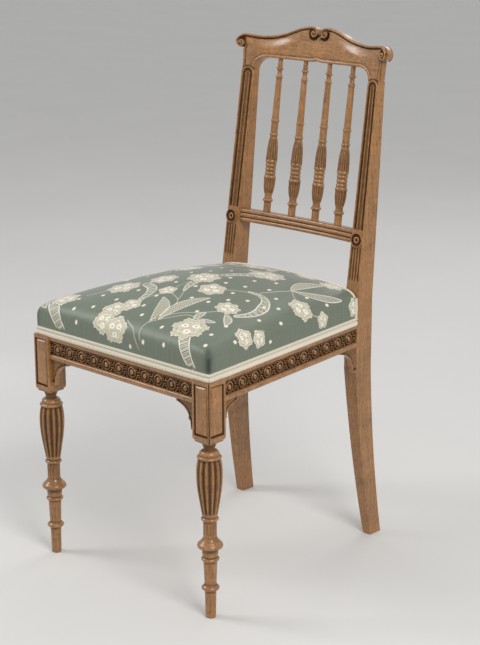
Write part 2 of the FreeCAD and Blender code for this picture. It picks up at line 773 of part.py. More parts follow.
def stay_rail():
    """A reeded moulding carried round the back's bow, tenoned into the stiles."""
    rail = back_body("stay_rail")
    reed = stay_height / STAY_REEDS
    ground = size.bow_depth + size.stay_reed_sink
    back = size.bow_depth + size.stay_thick
    section = [(ground, size.stay_low), (back, size.stay_low), (back, size.stay_high),
               (ground, size.stay_high)]
    for count in range(1, STAY_REEDS):
        section.append((ground, size.stay_high - reed * count, STAY_REED_SHARE * -1))
    section[0] = (ground, size.stay_low, STAY_REED_SHARE * -1)
    sketch = new_sketch(rail, "YZ_Plane")
    draw(sketch, section)
    pivot = size.bow_depth - size.bow_radius
    ends = [FreeCAD.Vector(pivot.value, z.value, 0) for z in (size.stay_low, size.stay_high)]
    axis = sketch.addGeometry(Part.LineSegment(*ends), True)
    pin(sketch, axis, 1, (pivot, size.stay_low))
    pin(sketch, axis, 2, (pivot, size.stay_high))
    turning = rail.newObject("PartDesign::Revolution", "Bow")
    turning.Profile = sketch
    turning.ReferenceAxis = (sketch, ["Axis0"])
    turning.Midplane = True
    reach = post_inner_face + size.tenon_long
    turning.setExpression("Angle", (half_angle(reach, size.bow_radius) * 2).text)
    wide = size.post_spread + size.post_foot_outer
    through = (crest_back + size.bow_depth) * 2
    ends = [mirrored(box_outline(post_inner_face, wide, size.stay_low - size.overrun,
                                 size.stay_high + size.overrun), side) for side in (-1, 1)]
    prism(rail, "Pocket", "XZ_Plane", ZERO, through, ends)
    front, behind = stay_tenon_places()
    tenon = box_outline(front, behind, size.stay_low + size.tenon_shoulder,
                        size.stay_high - size.tenon_shoulder)
    prism(rail, "Pad", "YZ_Plane", ZERO, (post_inner_face + size.tenon_long / 2) * 2, [tenon])
    sink_spindles(rail, size.stay_high - size.spindle_tenon / 2)


def spindle_behind(across):
    middle = size.bow_depth + size.stay_thick / 2
    return bow_behind(across, size.bow_radius + size.stay_thick / 2, middle)


def spindle_places():
    return [-size.spindle_outer, -size.spindle_inner, size.spindle_inner, size.spindle_outer]


def sink_spindles(rail, middle):
    """Round sockets for the spindles' tenons."""
    sockets = []
    for across in spindle_places():
        sockets.append((across, spindle_behind(across), size.spindle_tenon_girth / 2))
    prism(rail, "Pocket", "XY_Plane", middle, size.spindle_tenon, circles=sockets)


def crest_outline():
    """The whole outline of the crest, the right half from its table and the left as its mirror."""
    half = []
    for across_share, rise_share, bulge_share in CREST_OUTLINE_SHARES:
        half.append((size.crest_half * across_share, size.crest_under + size.crest_rise * rise_share,
                     bulge_share))
    roll_across = size.crest_half - size.crest_roll
    roll_up = half[-1][1] - size.crest_roll
    quarter = size.crest_roll
    half += [(roll_across, roll_up + quarter, 0), (size.crest_half, roll_up, quarter),
             (roll_across, roll_up - quarter, quarter)]
    for across_share, rise_share, bulge_share in CREST_SHOULDER_SHARES:
        half.append((size.crest_half * across_share, size.crest_under + size.crest_rise * rise_share,
                     bulge_share))
    inner = size.post_spread - size.post_inner
    outer = size.post_spread + size.post_top_outer
    half += [(outer, size.crest_joint), (inner, size.crest_joint),
             (size.crest_half * CREST_ARCH_SHARE, size.crest_under, CREST_ARCH_BULGE_SHARE),
             (size.crest_half * CREST_CUSP_SHARE, size.crest_under)]
    cusp = (ZERO, size.crest_under + size.crest_rise * CREST_CUSP_RISE_SHARE,
            CREST_CUSP_BULGE_SHARE)
    notch = (ZERO, size.crest_under + size.crest_rise * NOTCH_SHARE)
    return mirror_outline(notch, half, cusp)


def mirror_outline(first, half, last):
    """A symmetric outline: first and last lie on the middle line, half is its right side."""
    right = [first] + half + [last]
    bulges = [point[2] if len(point) > 2 else 0 for point in right]
    outline = list(right)
    for index in range(len(half), -1, -1):
        outline.append((-right[index][0], right[index][1], bulges[index + 1]))
    closing = outline.pop()
    outline[0] = (first[0], first[1], closing[2])
    return outline


def crest_rail():
    """A slab bowed in plan, trimmed to the scrolled outline, with rolls and volutes through it."""
    rail = back_body("crest_rail")
    wide = size.crest_half + size.overrun
    front = bow_behind(wide, size.bow_radius, size.bow_depth)
    back_radius = size.bow_radius + size.crest_thick
    back = bow_behind(wide, back_radius, crest_back)
    slab = [(-wide, front), (wide, front, size.bow_radius), (wide, back),
            (-wide, back, -back_radius)]
    tall = crest_top - size.crest_joint
    prism(rail, "Pad", "XY_Plane", size.crest_joint + tall / 2, tall, [slab])
    beyond = wide + size.overrun
    around = box_outline(-beyond, beyond, size.crest_joint - size.overrun, crest_top + size.overrun)
    through = (crest_back + size.overrun) * 2
    prism(rail, "Pocket", "XZ_Plane", ZERO, through, [around, crest_outline()])
    roll_across = size.crest_half - size.crest_roll
    roll_up = size.crest_under + size.crest_rise * CREST_OUTLINE_SHARES[-1][1] - size.crest_roll
    surface = bow_behind(roll_across, size.bow_radius, size.bow_depth)
    roll_middle = surface + size.crest_thick / 2
    rolls = [(roll_across * side, roll_up, size.crest_roll) for side in (-1, 1)]
    prism(rail, "Pad", "XZ_Plane", -roll_middle, size.crest_roll_long, circles=rolls)
    volute_across = size.crest_half * VOLUTE_ACROSS_SHARE
    volutes = [(volute_across * side, volute_up, size.volute) for side in (-1, 1)]
    volute_long = size.crest_thick + size.volute_proud * 2
    middle = size.bow_depth + size.crest_thick / 2
    prism(rail, "Pad", "XZ_Plane", -middle, volute_long, circles=volutes)
    sink_spindles(rail, size.crest_under + size.spindle_tenon / 2)
    mortise_middle = size.crest_joint + size.stile_tenon_long / 2
    across = size.post_spread + stile_tenon_middle
    half_wide = size.stile_tenon_wide / 2
    half_thick = size.tenon_thick / 2
    mortises = [box_outline(across * side - half_wide, across * side + half_wide,
                            stile_tenon_behind - half_thick, stile_tenon_behind + half_thick)
                for side in (-1, 1)]
    prism(rail, "Pocket", "XY_Plane", mortise_middle, size.stile_tenon_long, mortises)


def spindles():
    """Turned spindles between the stay rail and the crest, with round tenons."""
    tall = size.crest_under - size.stay_high
    tenon = size.spindle_tenon_girth / 2
    for number, across in enumerate(spindle_places(), start=1):
        spindle = back_body(f"spindle_{number}", across, size.stay_high, spindle_behind(across))
        profile = [(ZERO, -size.spindle_tenon), (tenon, -size.spindle_tenon), (tenon, ZERO)]
        profile += turning_points(SPINDLE_TURNING_SHARES, size.spindle_girth, tall)
        profile += [(tenon, tall * SPINDLE_NECK_SHARE), (tenon, tall + size.spindle_tenon),
                    (ZERO, tall + size.spindle_tenon)]
        turned(spindle, "XZ_Plane", profile)


def rosettes():
    """Turned rosettes planted on the stiles at the stay rail's height."""
    for label, side in (("rosette_left", -1), ("rosette_right", 1)):
        across = (size.post_spread + (size.post_outer - size.post_inner) * ROSETTE_ACROSS_SHARE) * side
        rosette = back_body(label, across, size.rosette_up)
        profile = [(ZERO, ZERO), (size.rosette_girth / 2, ZERO)]
        for radius_share, height_share, bulge_share in ROSETTE_TURNING_SHARES:
            profile.append((size.rosette_girth / 2 * radius_share,
                            -size.rosette_thick * height_share, bulge_share))
        profile.append((ZERO, -size.rosette_thick * ROSETTE_TURNING_SHARES[-1][1]))
        turned(rosette, "XY_Plane", profile)


# Seat

def webbing():
    """Two layers of straps over the frame, tacked to the rails' tops."""
    across = new_body("webbing_across")
    middle = size.rail_top + size.web_thick / 2
    for count in range(CROSS_WEBS):
        start = size.web_first + size.web_pitch_across * count
        end = start + size.web_wide
        near = side_face(start) - size.tacking_sink * 2
        far = side_face(end) - size.tacking_sink * 2
        strap = [(-near, start), (near, start), (far, end), (-far, end)]
        prism(across, "Pad", "XY_Plane", middle, size.web_thick, [strap])
    along = new_body("webbing_along")
    front = rail_face + size.tacking_sink * 2
    back = rear_face - size.tacking_sink
    for count in range(LONG_WEBS):
        place = size.web_pitch_along * (count - (LONG_WEBS - 1) / 2)
        half_wide = size.web_wide / 2
        strap = box_outline(place - half_wide, place + half_wide, front, back)
        prism(along, "Pad", "XY_Plane", middle + size.web_thick, size.web_thick, [strap])


def seat_plan(inset):
    """The seat's plan inside the rails' faces, notched round the rear posts."""
    front = rail_face + inset
    notch_along = size.post_front - size.notch_gap
    notch_across = post_inner_face - size.notch_gap
    half = [(side_face(front) - inset, front), (side_face(notch_along) - inset, notch_along),
            (notch_across, notch_along), (notch_across, rear_rail_back - inset)]
    return half + [(-across, along) for across, along in reversed(half)]


def hessian():
    sheet_body = new_body("hessian")
    middle = hessian_low + size.hessian_thick / 2
    plan = seat_plan(size.tacking_sink * 2)
    prism(sheet_body, "Pad", "XY_Plane", middle, size.hessian_thick, [plan])


def seat_sections(inset, low):
    """Sections of the crowned seat from front to back, inset all round from the rails' faces."""
    front = rail_face + inset
    deep = rear_rail_back - inset - front
    sections = []
    for along_share, edge_share, crown_share in SEAT_SECTION_SHARES:
        along = front + deep * along_share
        wide = side_face(along) - inset
        edge = size.rail_top + size.edge_rise * edge_share - inset
        crown = edge + size.crown_rise * crown_share
        half_top = wide - size.edge_round
        shoulder = edge - size.edge_drop * edge_share
        section = [
            (-wide, low), (wide, low), (wide, shoulder),
            (half_top, edge, EDGE_ROUND_SHARE),
            (-half_top, edge, crown_bulge(half_top, crown - edge)),
            (-wide, shoulder, EDGE_ROUND_SHARE),
        ]
        sections.append((-along, [flip_bulge(point) for point in section]))
    return sections


def crown_bulge(half_top, rise):
    """The crown's radius from its half chord and its rise."""
    return (half_top * half_top + rise * rise) / (rise * 2)


def flip_bulge(point):
    return (point[0], point[1], -point[2]) if len(point) > 2 else point


def notch_posts(body):
    """Cuts the seat away round the rear posts."""
    along = size.post_front - size.notch_gap
    across = post_inner_face - size.notch_gap
    wide = size.leg_spread + half_block
    middle = size.rail_top
    tall = (size.edge_rise + size.crown_rise + size.tacking_height) * 2 + size.overrun
    corners = [mirrored(box_outline(across, wide, along, rear_rail_back + size.overrun), side)
               for side in (-1, 1)]
    prism(body, "Pocket", "XY_Plane", middle, tall, corners)


def seat():
    """The stuffing and, clear of it, the cover that is drawn down over the rails' ledges."""
    skin = size.tacking_sink - size.cover_thick - size.soft_gap
    stuffing = new_body("seat_stuffing")
    core = skin + size.cover_thick + size.soft_gap
    loft(stuffing, "AdditiveLoft", "XZ_Plane", seat_sections(core, stuffing_low), ruled=False)
    notch_posts(stuffing)
    cover = new_body("seat_cover")
    loft(cover, "AdditiveLoft", "XZ_Plane", seat_sections(skin, cover_drop), ruled=False)
    hollow = seat_sections(skin + size.cover_thick, cover_drop - size.overrun)
    loft(cover, "SubtractiveLoft", "XZ_Plane", hollow, ruled=False)
    notch_posts(cover)


def gimps():
    """Braid strips along the cover's lower edge, mitred at the front corners."""
    inner = size.tacking_sink - size.cover_thick - size.soft_gap * 2
    outer = inner - size.gimp_thick
    middle = cover_drop + size.gimp_high / 2
    strip = new_body("gimp_front")
    near, far = rail_face + outer, rail_face + inner
    outside, inside = side_face(near) - outer, side_face(far) - inner
    outline = [(-outside, near), (outside, near), (inside, far), (-inside, far)]
    prism(strip, "Pad", "XY_Plane", middle, size.gimp_high, [outline])
    end = size.post_front - size.notch_gap
    for label, side in (("gimp_left", -1), ("gimp_right", 1)):
        strip = new_body(label)
        outline = [(outside, near), (side_face(end) - outer, end), (side_face(end) - inner, end),
                   (inside, far)]
        prism(strip, "Pad", "XY_Plane", middle, size.gimp_high, [mirrored(outline, side)])
        start = end - size.gimp_high
        riser = [(side_face(start) - outer, start), (side_face(end) - outer, end),
                 (side_face(end) - inner, end), (side_face(start) - inner, start)]
        rise_middle = cover_drop + (size.gimp_high + size.gimp_post_rise) / 2
        prism(strip, "Pad", "XY_Plane", rise_middle, size.gimp_high + size.gimp_post_rise,
              [mirrored(riser, side)])
    strip = new_body("gimp_back")
    across = post_inner_face - size.notch_gap
    outline = box_outline(-across, across, rear_rail_back - inner, rear_rail_back - outer)
    prism(strip, "Pad", "XY_Plane", middle, size.gimp_high, [outline])


# The chair

front_leg("front_leg_left", -1)
front_leg("front_leg_right", 1)
front_rail()
side_rail("left_rail", -1)
side_rail("right_rail", 1)
rear_rail()
friezes()
brackets()
corner_blocks()
rear_post("rear_post_left", -1)
rear_post("rear_post_right", 1)
stay_rail()
crest_rail()
spindles()
rosettes()
webbing()
hessian()
seat()
gimps()
doc.recompute()

for item in doc.Objects:
    if {"Invalid", "Error"} & set(item.State):
        raise RuntimeError(f"{item.Label} ({item.Name}) failed: {item.State}")
os.makedirs("parts", exist_ok=True)
for node in nodes:
    if node.Shape.isNull() or not node.Shape.isValid():
        raise RuntimeError(f"{node.Label} has no valid shape")
    node.Shape.exportStep(f"parts/{node.Label}.step")
    print(node.Label, len(node.Shape.Solids), round(node.Shape.Volume / 1000, 2), "cm3")
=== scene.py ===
# %% [markdown]
# This lesson dresses a parlour side chair. The CAD model gives the frame, in metres, with the floor at z
# = 0 and the chair facing -Y. Nearly every visible piece is then worked out as a surface with numpy, laid
# where its CAD node is, and given a finish that is drawn by nodes. Only the rear rail and the glue blocks
# keep the CAD's own faces. The pieces could be modelled by hand, but a formula is changed by one number.

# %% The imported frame
import math

import bmesh
import bpy
import numpy as np
from mathutils import Matrix, Vector


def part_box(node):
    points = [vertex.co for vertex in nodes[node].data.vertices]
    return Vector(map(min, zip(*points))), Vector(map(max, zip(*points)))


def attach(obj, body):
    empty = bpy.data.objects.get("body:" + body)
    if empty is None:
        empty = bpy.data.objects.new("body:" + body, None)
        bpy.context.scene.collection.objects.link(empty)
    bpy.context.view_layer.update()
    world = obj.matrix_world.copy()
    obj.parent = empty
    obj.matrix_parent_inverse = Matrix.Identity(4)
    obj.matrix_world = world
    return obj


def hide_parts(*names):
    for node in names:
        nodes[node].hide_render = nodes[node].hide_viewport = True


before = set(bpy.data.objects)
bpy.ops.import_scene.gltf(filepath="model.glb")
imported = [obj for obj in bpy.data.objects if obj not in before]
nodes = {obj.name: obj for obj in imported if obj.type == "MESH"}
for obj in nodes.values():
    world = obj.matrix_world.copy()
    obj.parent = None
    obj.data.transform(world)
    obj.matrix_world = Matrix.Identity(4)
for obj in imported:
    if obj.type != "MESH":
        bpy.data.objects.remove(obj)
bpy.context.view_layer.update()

# %% [markdown]
# The pieces are easiest to think about in millimetres, with y counted from the front legs' axes. The
# legs' own boxes say where those axes are, so one function carries every point into the frame. A parent
# object could do the same, but a finished piece sits at the origin with its place in its mesh.

# %% Millimetres to the frame
MM = 0.001
leg_low, leg_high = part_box("front_leg_right")
LEG_AXIS_Y = (leg_low.y + leg_high.y) / 2


def to_frame(points):
    """Millimetres of the seat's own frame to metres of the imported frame: scale, then a shift along y."""
    return np.asarray(points, float) * MM + np.array([0.0, LEG_AXIS_Y, 0.0])


print("front legs' axes at y =", round(LEG_AXIS_Y, 4))

# %% [markdown]
# The camera stands where the photographer's did: in front of the chair and to the right, above the crest,
# with a long lens. It could be set by eye. Here its place, aim and lens are numbers fitted to the
# picture. The picture's long side is its height, so the sensor width counts along that.

# %% Camera
CAMERA_PLACE = (1900.3, -1718.2, 1173.5)
CAMERA_TARGET = (46.3, 220.0, 415.4)
CAMERA_ROLL = math.radians(-0.25)
FOCAL_PIXELS = 1658.3
PICTURE_HEIGHT = 645
SENSOR = 36.0

camera_data = bpy.data.cameras.new("camera")
camera = bpy.data.objects.new("camera", camera_data)
bpy.context.scene.collection.objects.link(camera)
camera_data.sensor_width = SENSOR
camera_data.lens = FOCAL_PIXELS * SENSOR / PICTURE_HEIGHT
camera_place = Vector(to_frame(CAMERA_PLACE))
forward = (Vector(to_frame(CAMERA_TARGET)) - camera_place).normalized()
level = forward.cross(Vector((0, 0, 1))).normalized()
upright = level.cross(forward)
rolled = level * math.cos(CAMERA_ROLL) + upright * math.sin(CAMERA_ROLL)
rolled_up = rolled.cross(forward)
turn = Matrix((rolled, rolled_up, -forward)).transposed()
camera.matrix_world = Matrix.Translation(camera_place) @ turn.to_4x4()
bpy.context.scene.camera = camera
print("lens", round(camera_data.lens, 2), "mm")

# %% [markdown]
# A piece is one or more grids of points. Each grid becomes quads, the grids are joined, and points that
# fall on each other are merged, which closes the seams and the poles. Then all faces are turned outwards.
# Modifiers could make some of these shapes, but a grid makes all of them in one way, and it carries marks
# that the finish reads.

# %% Grids to pieces
MERGE = 2e-6


def grid_faces(shape, first):
    """Quads of a grid of rows and columns whose points are numbered from first."""
    index = first + np.arange(shape[0] * shape[1]).reshape(shape[:2])
    corners = [index[:-1, :-1], index[1:, :-1], index[1:, 1:], index[:-1, 1:]]
    return np.stack(corners, axis=-1).reshape(-1, 4)


def build(name, grids, finish, replaced, marks=None, crease=38.0):
    """A closed piece from grids in millimetres; marks are values at its points that the finish reads."""
    counts = [grid.shape[0] * grid.shape[1] for grid in grids]
    firsts = np.concatenate([[0], np.cumsum(counts)[:-1]])
    points = to_frame(np.concatenate([grid.reshape(-1, 3) for grid in grids]))
    faces = np.concatenate([grid_faces(grid.shape, first) for grid, first in zip(grids, firsts)])
    mesh = bpy.data.meshes.new(name)
    mesh.vertices.add(len(points))
    mesh.vertices.foreach_set("co", points.astype(np.float32).ravel())
    mesh.loops.add(faces.size)
    mesh.polygons.add(len(faces))
    mesh.polygons.foreach_set("loop_start", np.arange(len(faces), dtype=np.int32) * 4)
    mesh.loops.foreach_set("vertex_index", faces.astype(np.int32).ravel())
    mesh.update(calc_edges=True)
    for mark, values in (marks or {}).items():
        vector = np.ndim(values) == 2
        layer = mesh.attributes.new(mark, "FLOAT_VECTOR" if vector else "FLOAT", "POINT")
        layer.data.foreach_set("vector" if vector else "value", np.asarray(values, np.float32).ravel())
    shape = bmesh.new()
    shape.from_mesh(mesh)
    bmesh.ops.remove_doubles(shape, verts=shape.verts, dist=MERGE)
    bmesh.ops.dissolve_degenerate(shape, edges=shape.edges, dist=MERGE / 4)
    bmesh.ops.recalc_face_normals(shape, faces=shape.faces)
    open_edges = sum(len(edge.link_faces) != 2 for edge in shape.edges)
    shape.to_mesh(mesh)
    shape.free()
    mesh.shade_smooth()
    mesh.set_sharp_from_angle(angle=math.radians(crease))
    mesh.materials.append(finish)
    piece = bpy.data.objects.new(name, mesh)
    bpy.context.scene.collection.objects.link(piece)
    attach(piece, "root")
    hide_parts(*replaced)
    print(name, len(mesh.polygons), "faces,", open_edges, "open edges")
    return piece


print("a grid of 3 by 3 points makes", len(grid_faces((3, 3), 0)), "quads")

# %% Lines, tubes and soft steps
def even(line, step, ease):
    """A line re-spaced at an even step, its corners eased by a moving average that is as wide as ease."""
    run = np.concatenate([[0.0], np.cumsum(np.hypot(*np.diff(line, axis=0).T))])
    places = np.linspace(0.0, run[-1], max(int(run[-1] / step), 2) + 1)
    spaced = np.stack([np.interp(places, run, line[:, axis]) for axis in (0, 1)], axis=1)
    reach = max(int(round(ease / step)), 1)
    weight = np.hanning(2 * reach + 3)[1:-1]
    padded = np.pad(spaced, ((reach, reach), (0, 0)), mode="edge")
    eased = [np.convolve(padded[:, axis], weight / weight.sum(), "valid") for axis in (0, 1)]
    eased = np.stack(eased, axis=1)
    eased[[0, -1]] = spaced[[0, -1]]
    return eased


def smooth(low, high, value):
    """The smoothstep of value between low and high: 0 below, 1 above, 3t^2 - 2t^3 between."""
    t = np.clip((value - low) / (high - low), 0.0, 1.0)
    return t * t * (3 - 2 * t)


def bump(value, centre, half):
    """A round bump of height 1 over centre, gone at half away: the top of a circle, sqrt(1 - t^2)."""
    return np.sqrt(np.clip(1 - ((value - centre) / half) ** 2, 0.0, 1.0))


def softened(line, times):
    """A line with its corners cut: each time every step keeps the points a quarter in from its two ends."""
    line = np.array(line, float)
    for count in range(times):
        cuts = np.stack([line[:-1] * 0.75 + line[1:] * 0.25, line[:-1] * 0.25 + line[1:] * 0.75], axis=1)
        line = np.concatenate([line[:1], cuts.reshape(-1, 2), line[-1:]])
    return line


def along_line(u, v, line):
    """Distance from each point to a line of points, and the run along the line to the nearest place."""
    nearest = np.full(u.shape, 1e3) + 0 * v
    place = 0 * nearest
    run = 0.0
    for (u0, v0), (u1, v1) in zip(line[:-1], line[1:]):
        step = math.hypot(u1 - u0, v1 - v0)
        t = np.clip(((u - u0) * (u1 - u0) + (v - v0) * (v1 - v0)) / step ** 2, 0, 1)
        distance = np.hypot(u - u0 - t * (u1 - u0), v - v0 - t * (v1 - v0))
        place = np.where(distance < nearest, run + t * step, place)
        nearest = np.minimum(nearest, distance)
        run += step
    return nearest, place


def capped(grid):
    """A tube of sections with both ends closed: each end gets one more row, drawn in to its middle."""
    first = np.broadcast_to(grid[0].mean(axis=0), grid[0].shape)[None]
    last = np.broadcast_to(grid[-1].mean(axis=0), grid[-1].shape)[None]
    return np.concatenate([first, grid, last])


def spread(across, along, height):
    """Three arrays stretched over each other and put together as points."""
    return np.stack(np.broadcast_arrays(across, along, height), axis=-1)


def wax_and_shade_marks(hollow):
    """The hollow mark of a capped tube, for dark wax and painted shade: one value for each point, the end
    rows repeated for the caps.
    """
    return {"hollow": np.pad(hollow, ((1, 1), (0, 0)), mode="edge").ravel()}


print("a soft step, halfway:", float(smooth(0.0, 1.0, 0.5)))


# %% [markdown]
# Every finish is a tree of nodes. It could be wired by hand in the shader editor. Here one small function
# adds a node with its settings and links, and another turns a hex colour to linear light, so that a
# finish reads as a list.

# %% Colours and nodes
def paint(code):
    """An sRGB hex colour as linear red, green, blue and alpha."""
    parts = np.array([int(code[place:place + 2], 16) for place in (1, 3, 5)]) / 255
    linear = np.where(parts <= 0.04045, parts / 12.92, ((parts + 0.055) / 1.055) ** 2.4)
    return (*(float(part) for part in linear), 1.0)


def add(tree, kind, inputs=None, **settings):
    """Adds a node to a tree, sets its own settings, and fills its inputs with values or with links."""
    made = tree.nodes.new(kind)
    for setting, value in settings.items():
        setattr(made, setting, value)
    for socket, value in (inputs or {}).items():
        if isinstance(value, bpy.types.NodeSocket):
            tree.links.new(value, made.inputs[socket])
        else:
            made.inputs[socket].default_value = value
    return made


def new_finish(name):
    """An empty material with its output, as (material, its node tree, its output node)."""
    finish = bpy.data.materials.new(name)
    finish.use_nodes = True
    finish.node_tree.nodes.clear()
    return finish, finish.node_tree, finish.node_tree.nodes.new("ShaderNodeOutputMaterial")


print("paper white, linear:", paint("#ffffff"))

# %% [markdown]
# The floor and the light are a plain photographer's corner. The floor is pale and wide, and the sky is an
# even soft light. One large lamp to the right and above gives the polish something to show, and two
# weaker ones open the shadows on the left and behind. A picture of a studio could light it too, but lamps
# need no file.

# %% Floor and light
FLOOR_REACH = 40.0
SKY_STRENGTH = 0.74
floor_finish, tree, output = new_finish("painted_floor")
place = add(tree, "ShaderNodeTexCoord").outputs["Object"]
cloud = add(tree, "ShaderNodeTexNoise", {"Vector": place, "Scale": 3.0, "Detail": 3.0}).outputs["Fac"]
tint = add(tree, "ShaderNodeMix", {0: cloud, 6: paint("#d3d1cd"), 7: paint("#dad8d4")}, data_type="RGBA")
shader = add(tree, "ShaderNodeBsdfPrincipled", {"Base Color": tint.outputs[2], "Roughness": 0.75})
tree.links.new(shader.outputs[0], output.inputs["Surface"])
floor_mesh = bpy.data.meshes.new("floor")
reach = FLOOR_REACH
floor_mesh.from_pydata([(-reach, -reach, 0), (reach, -reach, 0), (reach, reach, 0), (-reach, reach, 0)],
                       [], [(0, 1, 2, 3)])
floor_mesh.materials.append(floor_finish)
floor = bpy.data.objects.new("floor", floor_mesh)
bpy.context.scene.collection.objects.link(floor)

world = bpy.data.worlds.new("studio")
bpy.context.scene.world = world
world.use_nodes = True
sky = world.node_tree.nodes["Background"]
sky.inputs["Color"].default_value = paint("#e6e7ea")
sky.inputs["Strength"].default_value = SKY_STRENGTH

LAMP_AIM = Vector((0.0, 0.0, 0.45))
LAMPS = [
    ("key", (2.3, -0.9, 2.3), 1.2, 52.0),
    ("front", (-1.75, -1.35, 2.05), 0.9, 24.0),
    ("back", (-0.6, 2.4, 2.0), 1.2, 10.0),
]
for lamp_name, lamp_place, lamp_size, lamp_power in LAMPS:
    lamp_data = bpy.data.lights.new(lamp_name, "AREA")
    lamp_data.size = lamp_size
    lamp_data.energy = lamp_power
    lamp = bpy.data.objects.new(lamp_name, lamp_data)
    lamp.location = lamp_place
    aim = LAMP_AIM - Vector(lamp_place)
    lamp.rotation_euler = aim.to_track_quat("-Z", "Y").to_euler()
    bpy.context.scene.collection.objects.link(lamp)
bpy.context.scene.view_settings.view_transform = "Standard"
print("lamps:", len(LAMPS))

# %% [markdown]
# The show wood is satinwood, sawn so that its curl shows as bars across the grain, and French polished.
# To the eye that is a golden brown with fine darker lines, soft bars and a clear gloss. The grain runs
# along each piece, so there is one finish for each direction. Carving holds dark wax in its hollows, and
# they are also darkened with painted shade: the pieces carry a mark named hollow, and the finish darkens
# there. A picture of veneer could be laid on, but noise that is drawn out along the grain has no seams.

# %% Polished satinwood
# Each pattern's size across the grain in millimetres, and how many times as long it is along the grain.
PATTERNS = {"grain": (2.2, 28.0), "fibre": (0.9, 40.0), "curl": (39.0, 0.28), "fleck": (2.6, 2.6)}


def polished_satinwood(name, along, tone="#9a6d40"):
    """French polished satinwood; along is the axis that its grain follows."""
    finish, tree, output = new_finish(name)
    place = add(tree, "ShaderNodeTexCoord").outputs["Object"]
    drawn = {}
    for pattern, (across_mm, longer) in PATTERNS.items():
        scale = [1 / (across_mm * MM)] * 3
        scale[along] /= longer
        drawn[pattern] = add(tree, "ShaderNodeMapping", {"Vector": place, "Scale": scale}).outputs[0]
    grain = add(tree, "ShaderNodeTexNoise", {"Vector": drawn["grain"], "Scale": 1.0,
                                             "Detail": 5.0, "Roughness": 0.6, "Distortion": 0.6})
    fibre = add(tree, "ShaderNodeTexNoise", {"Vector": drawn["fibre"], "Scale": 1.0,
                                             "Detail": 3.0, "Roughness": 0.55})
    curl = add(tree, "ShaderNodeTexNoise", {"Vector": drawn["curl"], "Scale": 1.0,
                                            "Detail": 3.0, "Roughness": 0.55, "Distortion": 0.8})
    cloud = add(tree, "ShaderNodeTexNoise", {"Vector": place, "Scale": 22.0, "Detail": 3.0})
    bands = add(tree, "ShaderNodeValToRGB", {"Fac": grain.outputs["Fac"]})
    bands.color_ramp.elements[0].position = 0.30
    bands.color_ramp.elements[0].color = paint("#835730")
    bands.color_ramp.elements[1].position = 0.72
    bands.color_ramp.elements[1].color = paint("#ab7c4a")
    middle = bands.color_ramp.elements.new(0.50)
    middle.color = paint(tone)
    bars = add(tree, "ShaderNodeMapRange", {"Value": curl.outputs["Fac"], "From Min": 0.32, "From Max": 0.68,
                                            "To Min": 0.86, "To Max": 1.10}).outputs[0]
    threads = add(tree, "ShaderNodeMapRange", {"Value": fibre.outputs["Fac"], "From Min": 0.30,
                                               "From Max": 0.62, "To Min": 0.90, "To Max": 1.03}).outputs[0]
    dots = add(tree, "ShaderNodeTexNoise", {"Vector": drawn["fleck"], "Scale": 1.0, "Detail": 2.0,
                                            "Roughness": 0.6})
    flecks = add(tree, "ShaderNodeMapRange", {"Value": dots.outputs["Fac"], "From Min": 0.55,
                                              "From Max": 0.66, "To Min": 1.0, "To Max": 0.58}).outputs[0]
    specks = add(tree, "ShaderNodeMath", {0: threads, 1: flecks}, operation="MULTIPLY").outputs[0]
    figure = add(tree, "ShaderNodeMath", {0: bars, 1: specks}, operation="MULTIPLY").outputs[0]
    shade = add(tree, "ShaderNodeMath", {0: figure, 1: add(tree, "ShaderNodeMapRange", {
        "Value": cloud.outputs["Fac"], "From Min": 0.3, "From Max": 0.7, "To Min": 0.88,
        "To Max": 1.10}).outputs[0]}, operation="MULTIPLY").outputs[0]
    lit = add(tree, "ShaderNodeVectorMath", {0: bands.outputs["Color"], "Scale": shade}, operation="SCALE")
    # Dark wax and painted shade: where the hollow mark is high, the colour is mixed towards near black.
    hollow = add(tree, "ShaderNodeAttribute", attribute_name="hollow").outputs["Fac"]
    wax_and_shade = add(tree, "ShaderNodeMath", {0: hollow, 1: 0.93}, operation="MULTIPLY").outputs[0]
    colour = add(tree, "ShaderNodeMix", {0: wax_and_shade, 6: lit.outputs[0], 7: paint("#1d110a")}, data_type="RGBA")
    dull = add(tree, "ShaderNodeMapRange", {"Value": cloud.outputs["Fac"], "To Min": 0.26,
                                            "To Max": 0.36}).outputs[0]
    rough = add(tree, "ShaderNodeMath", {0: hollow, 1: 0.30, 2: dull}, operation="MULTIPLY_ADD").outputs[0]
    relief = add(tree, "ShaderNodeBump", {"Height": threads, "Strength": 0.10, "Distance": 0.0003})
    gloss = add(tree, "ShaderNodeMapRange", {"Value": hollow, "To Min": 0.42, "To Max": 0.04}).outputs[0]
    shader = add(tree, "ShaderNodeBsdfPrincipled", {
        "Base Color": colour.outputs[2], "Roughness": rough, "Normal": relief.outputs[0], "IOR": 1.5,
        "Specular IOR Level": gloss, "Coat Weight": gloss, "Coat Roughness": 0.17})
    tree.links.new(shader.outputs[0], output.inputs["Surface"])
    return finish


wood_across = polished_satinwood("satinwood_across", 0)
wood_along = polished_satinwood("satinwood_along", 1)
wood_upright = polished_satinwood("satinwood_upright", 2)
CAD_WOOD = {
    "rear_rail": wood_across, "front_rail": wood_across, "stay_rail": wood_across, "crest_rail": wood_across,
    "left_rail": wood_along, "right_rail": wood_along,
}
for node_name, node in nodes.items():
    node.data.materials.clear()
    node.data.materials.append(CAD_WOOD.get(node_name, wood_upright))
print("wood on", len(nodes), "nodes")

# %% [markdown]
# The front legs are turned on a lathe below a square block. A turning is its half section carried round
# an axis. The table gives the section's corners, and each stretch between them may swell out or hollow
# in. The bulb and the neck are fluted, which takes a round hollow off the radius twelve times round. The
# Screw modifier could turn a plain section, but the flutes need the radius at each angle.

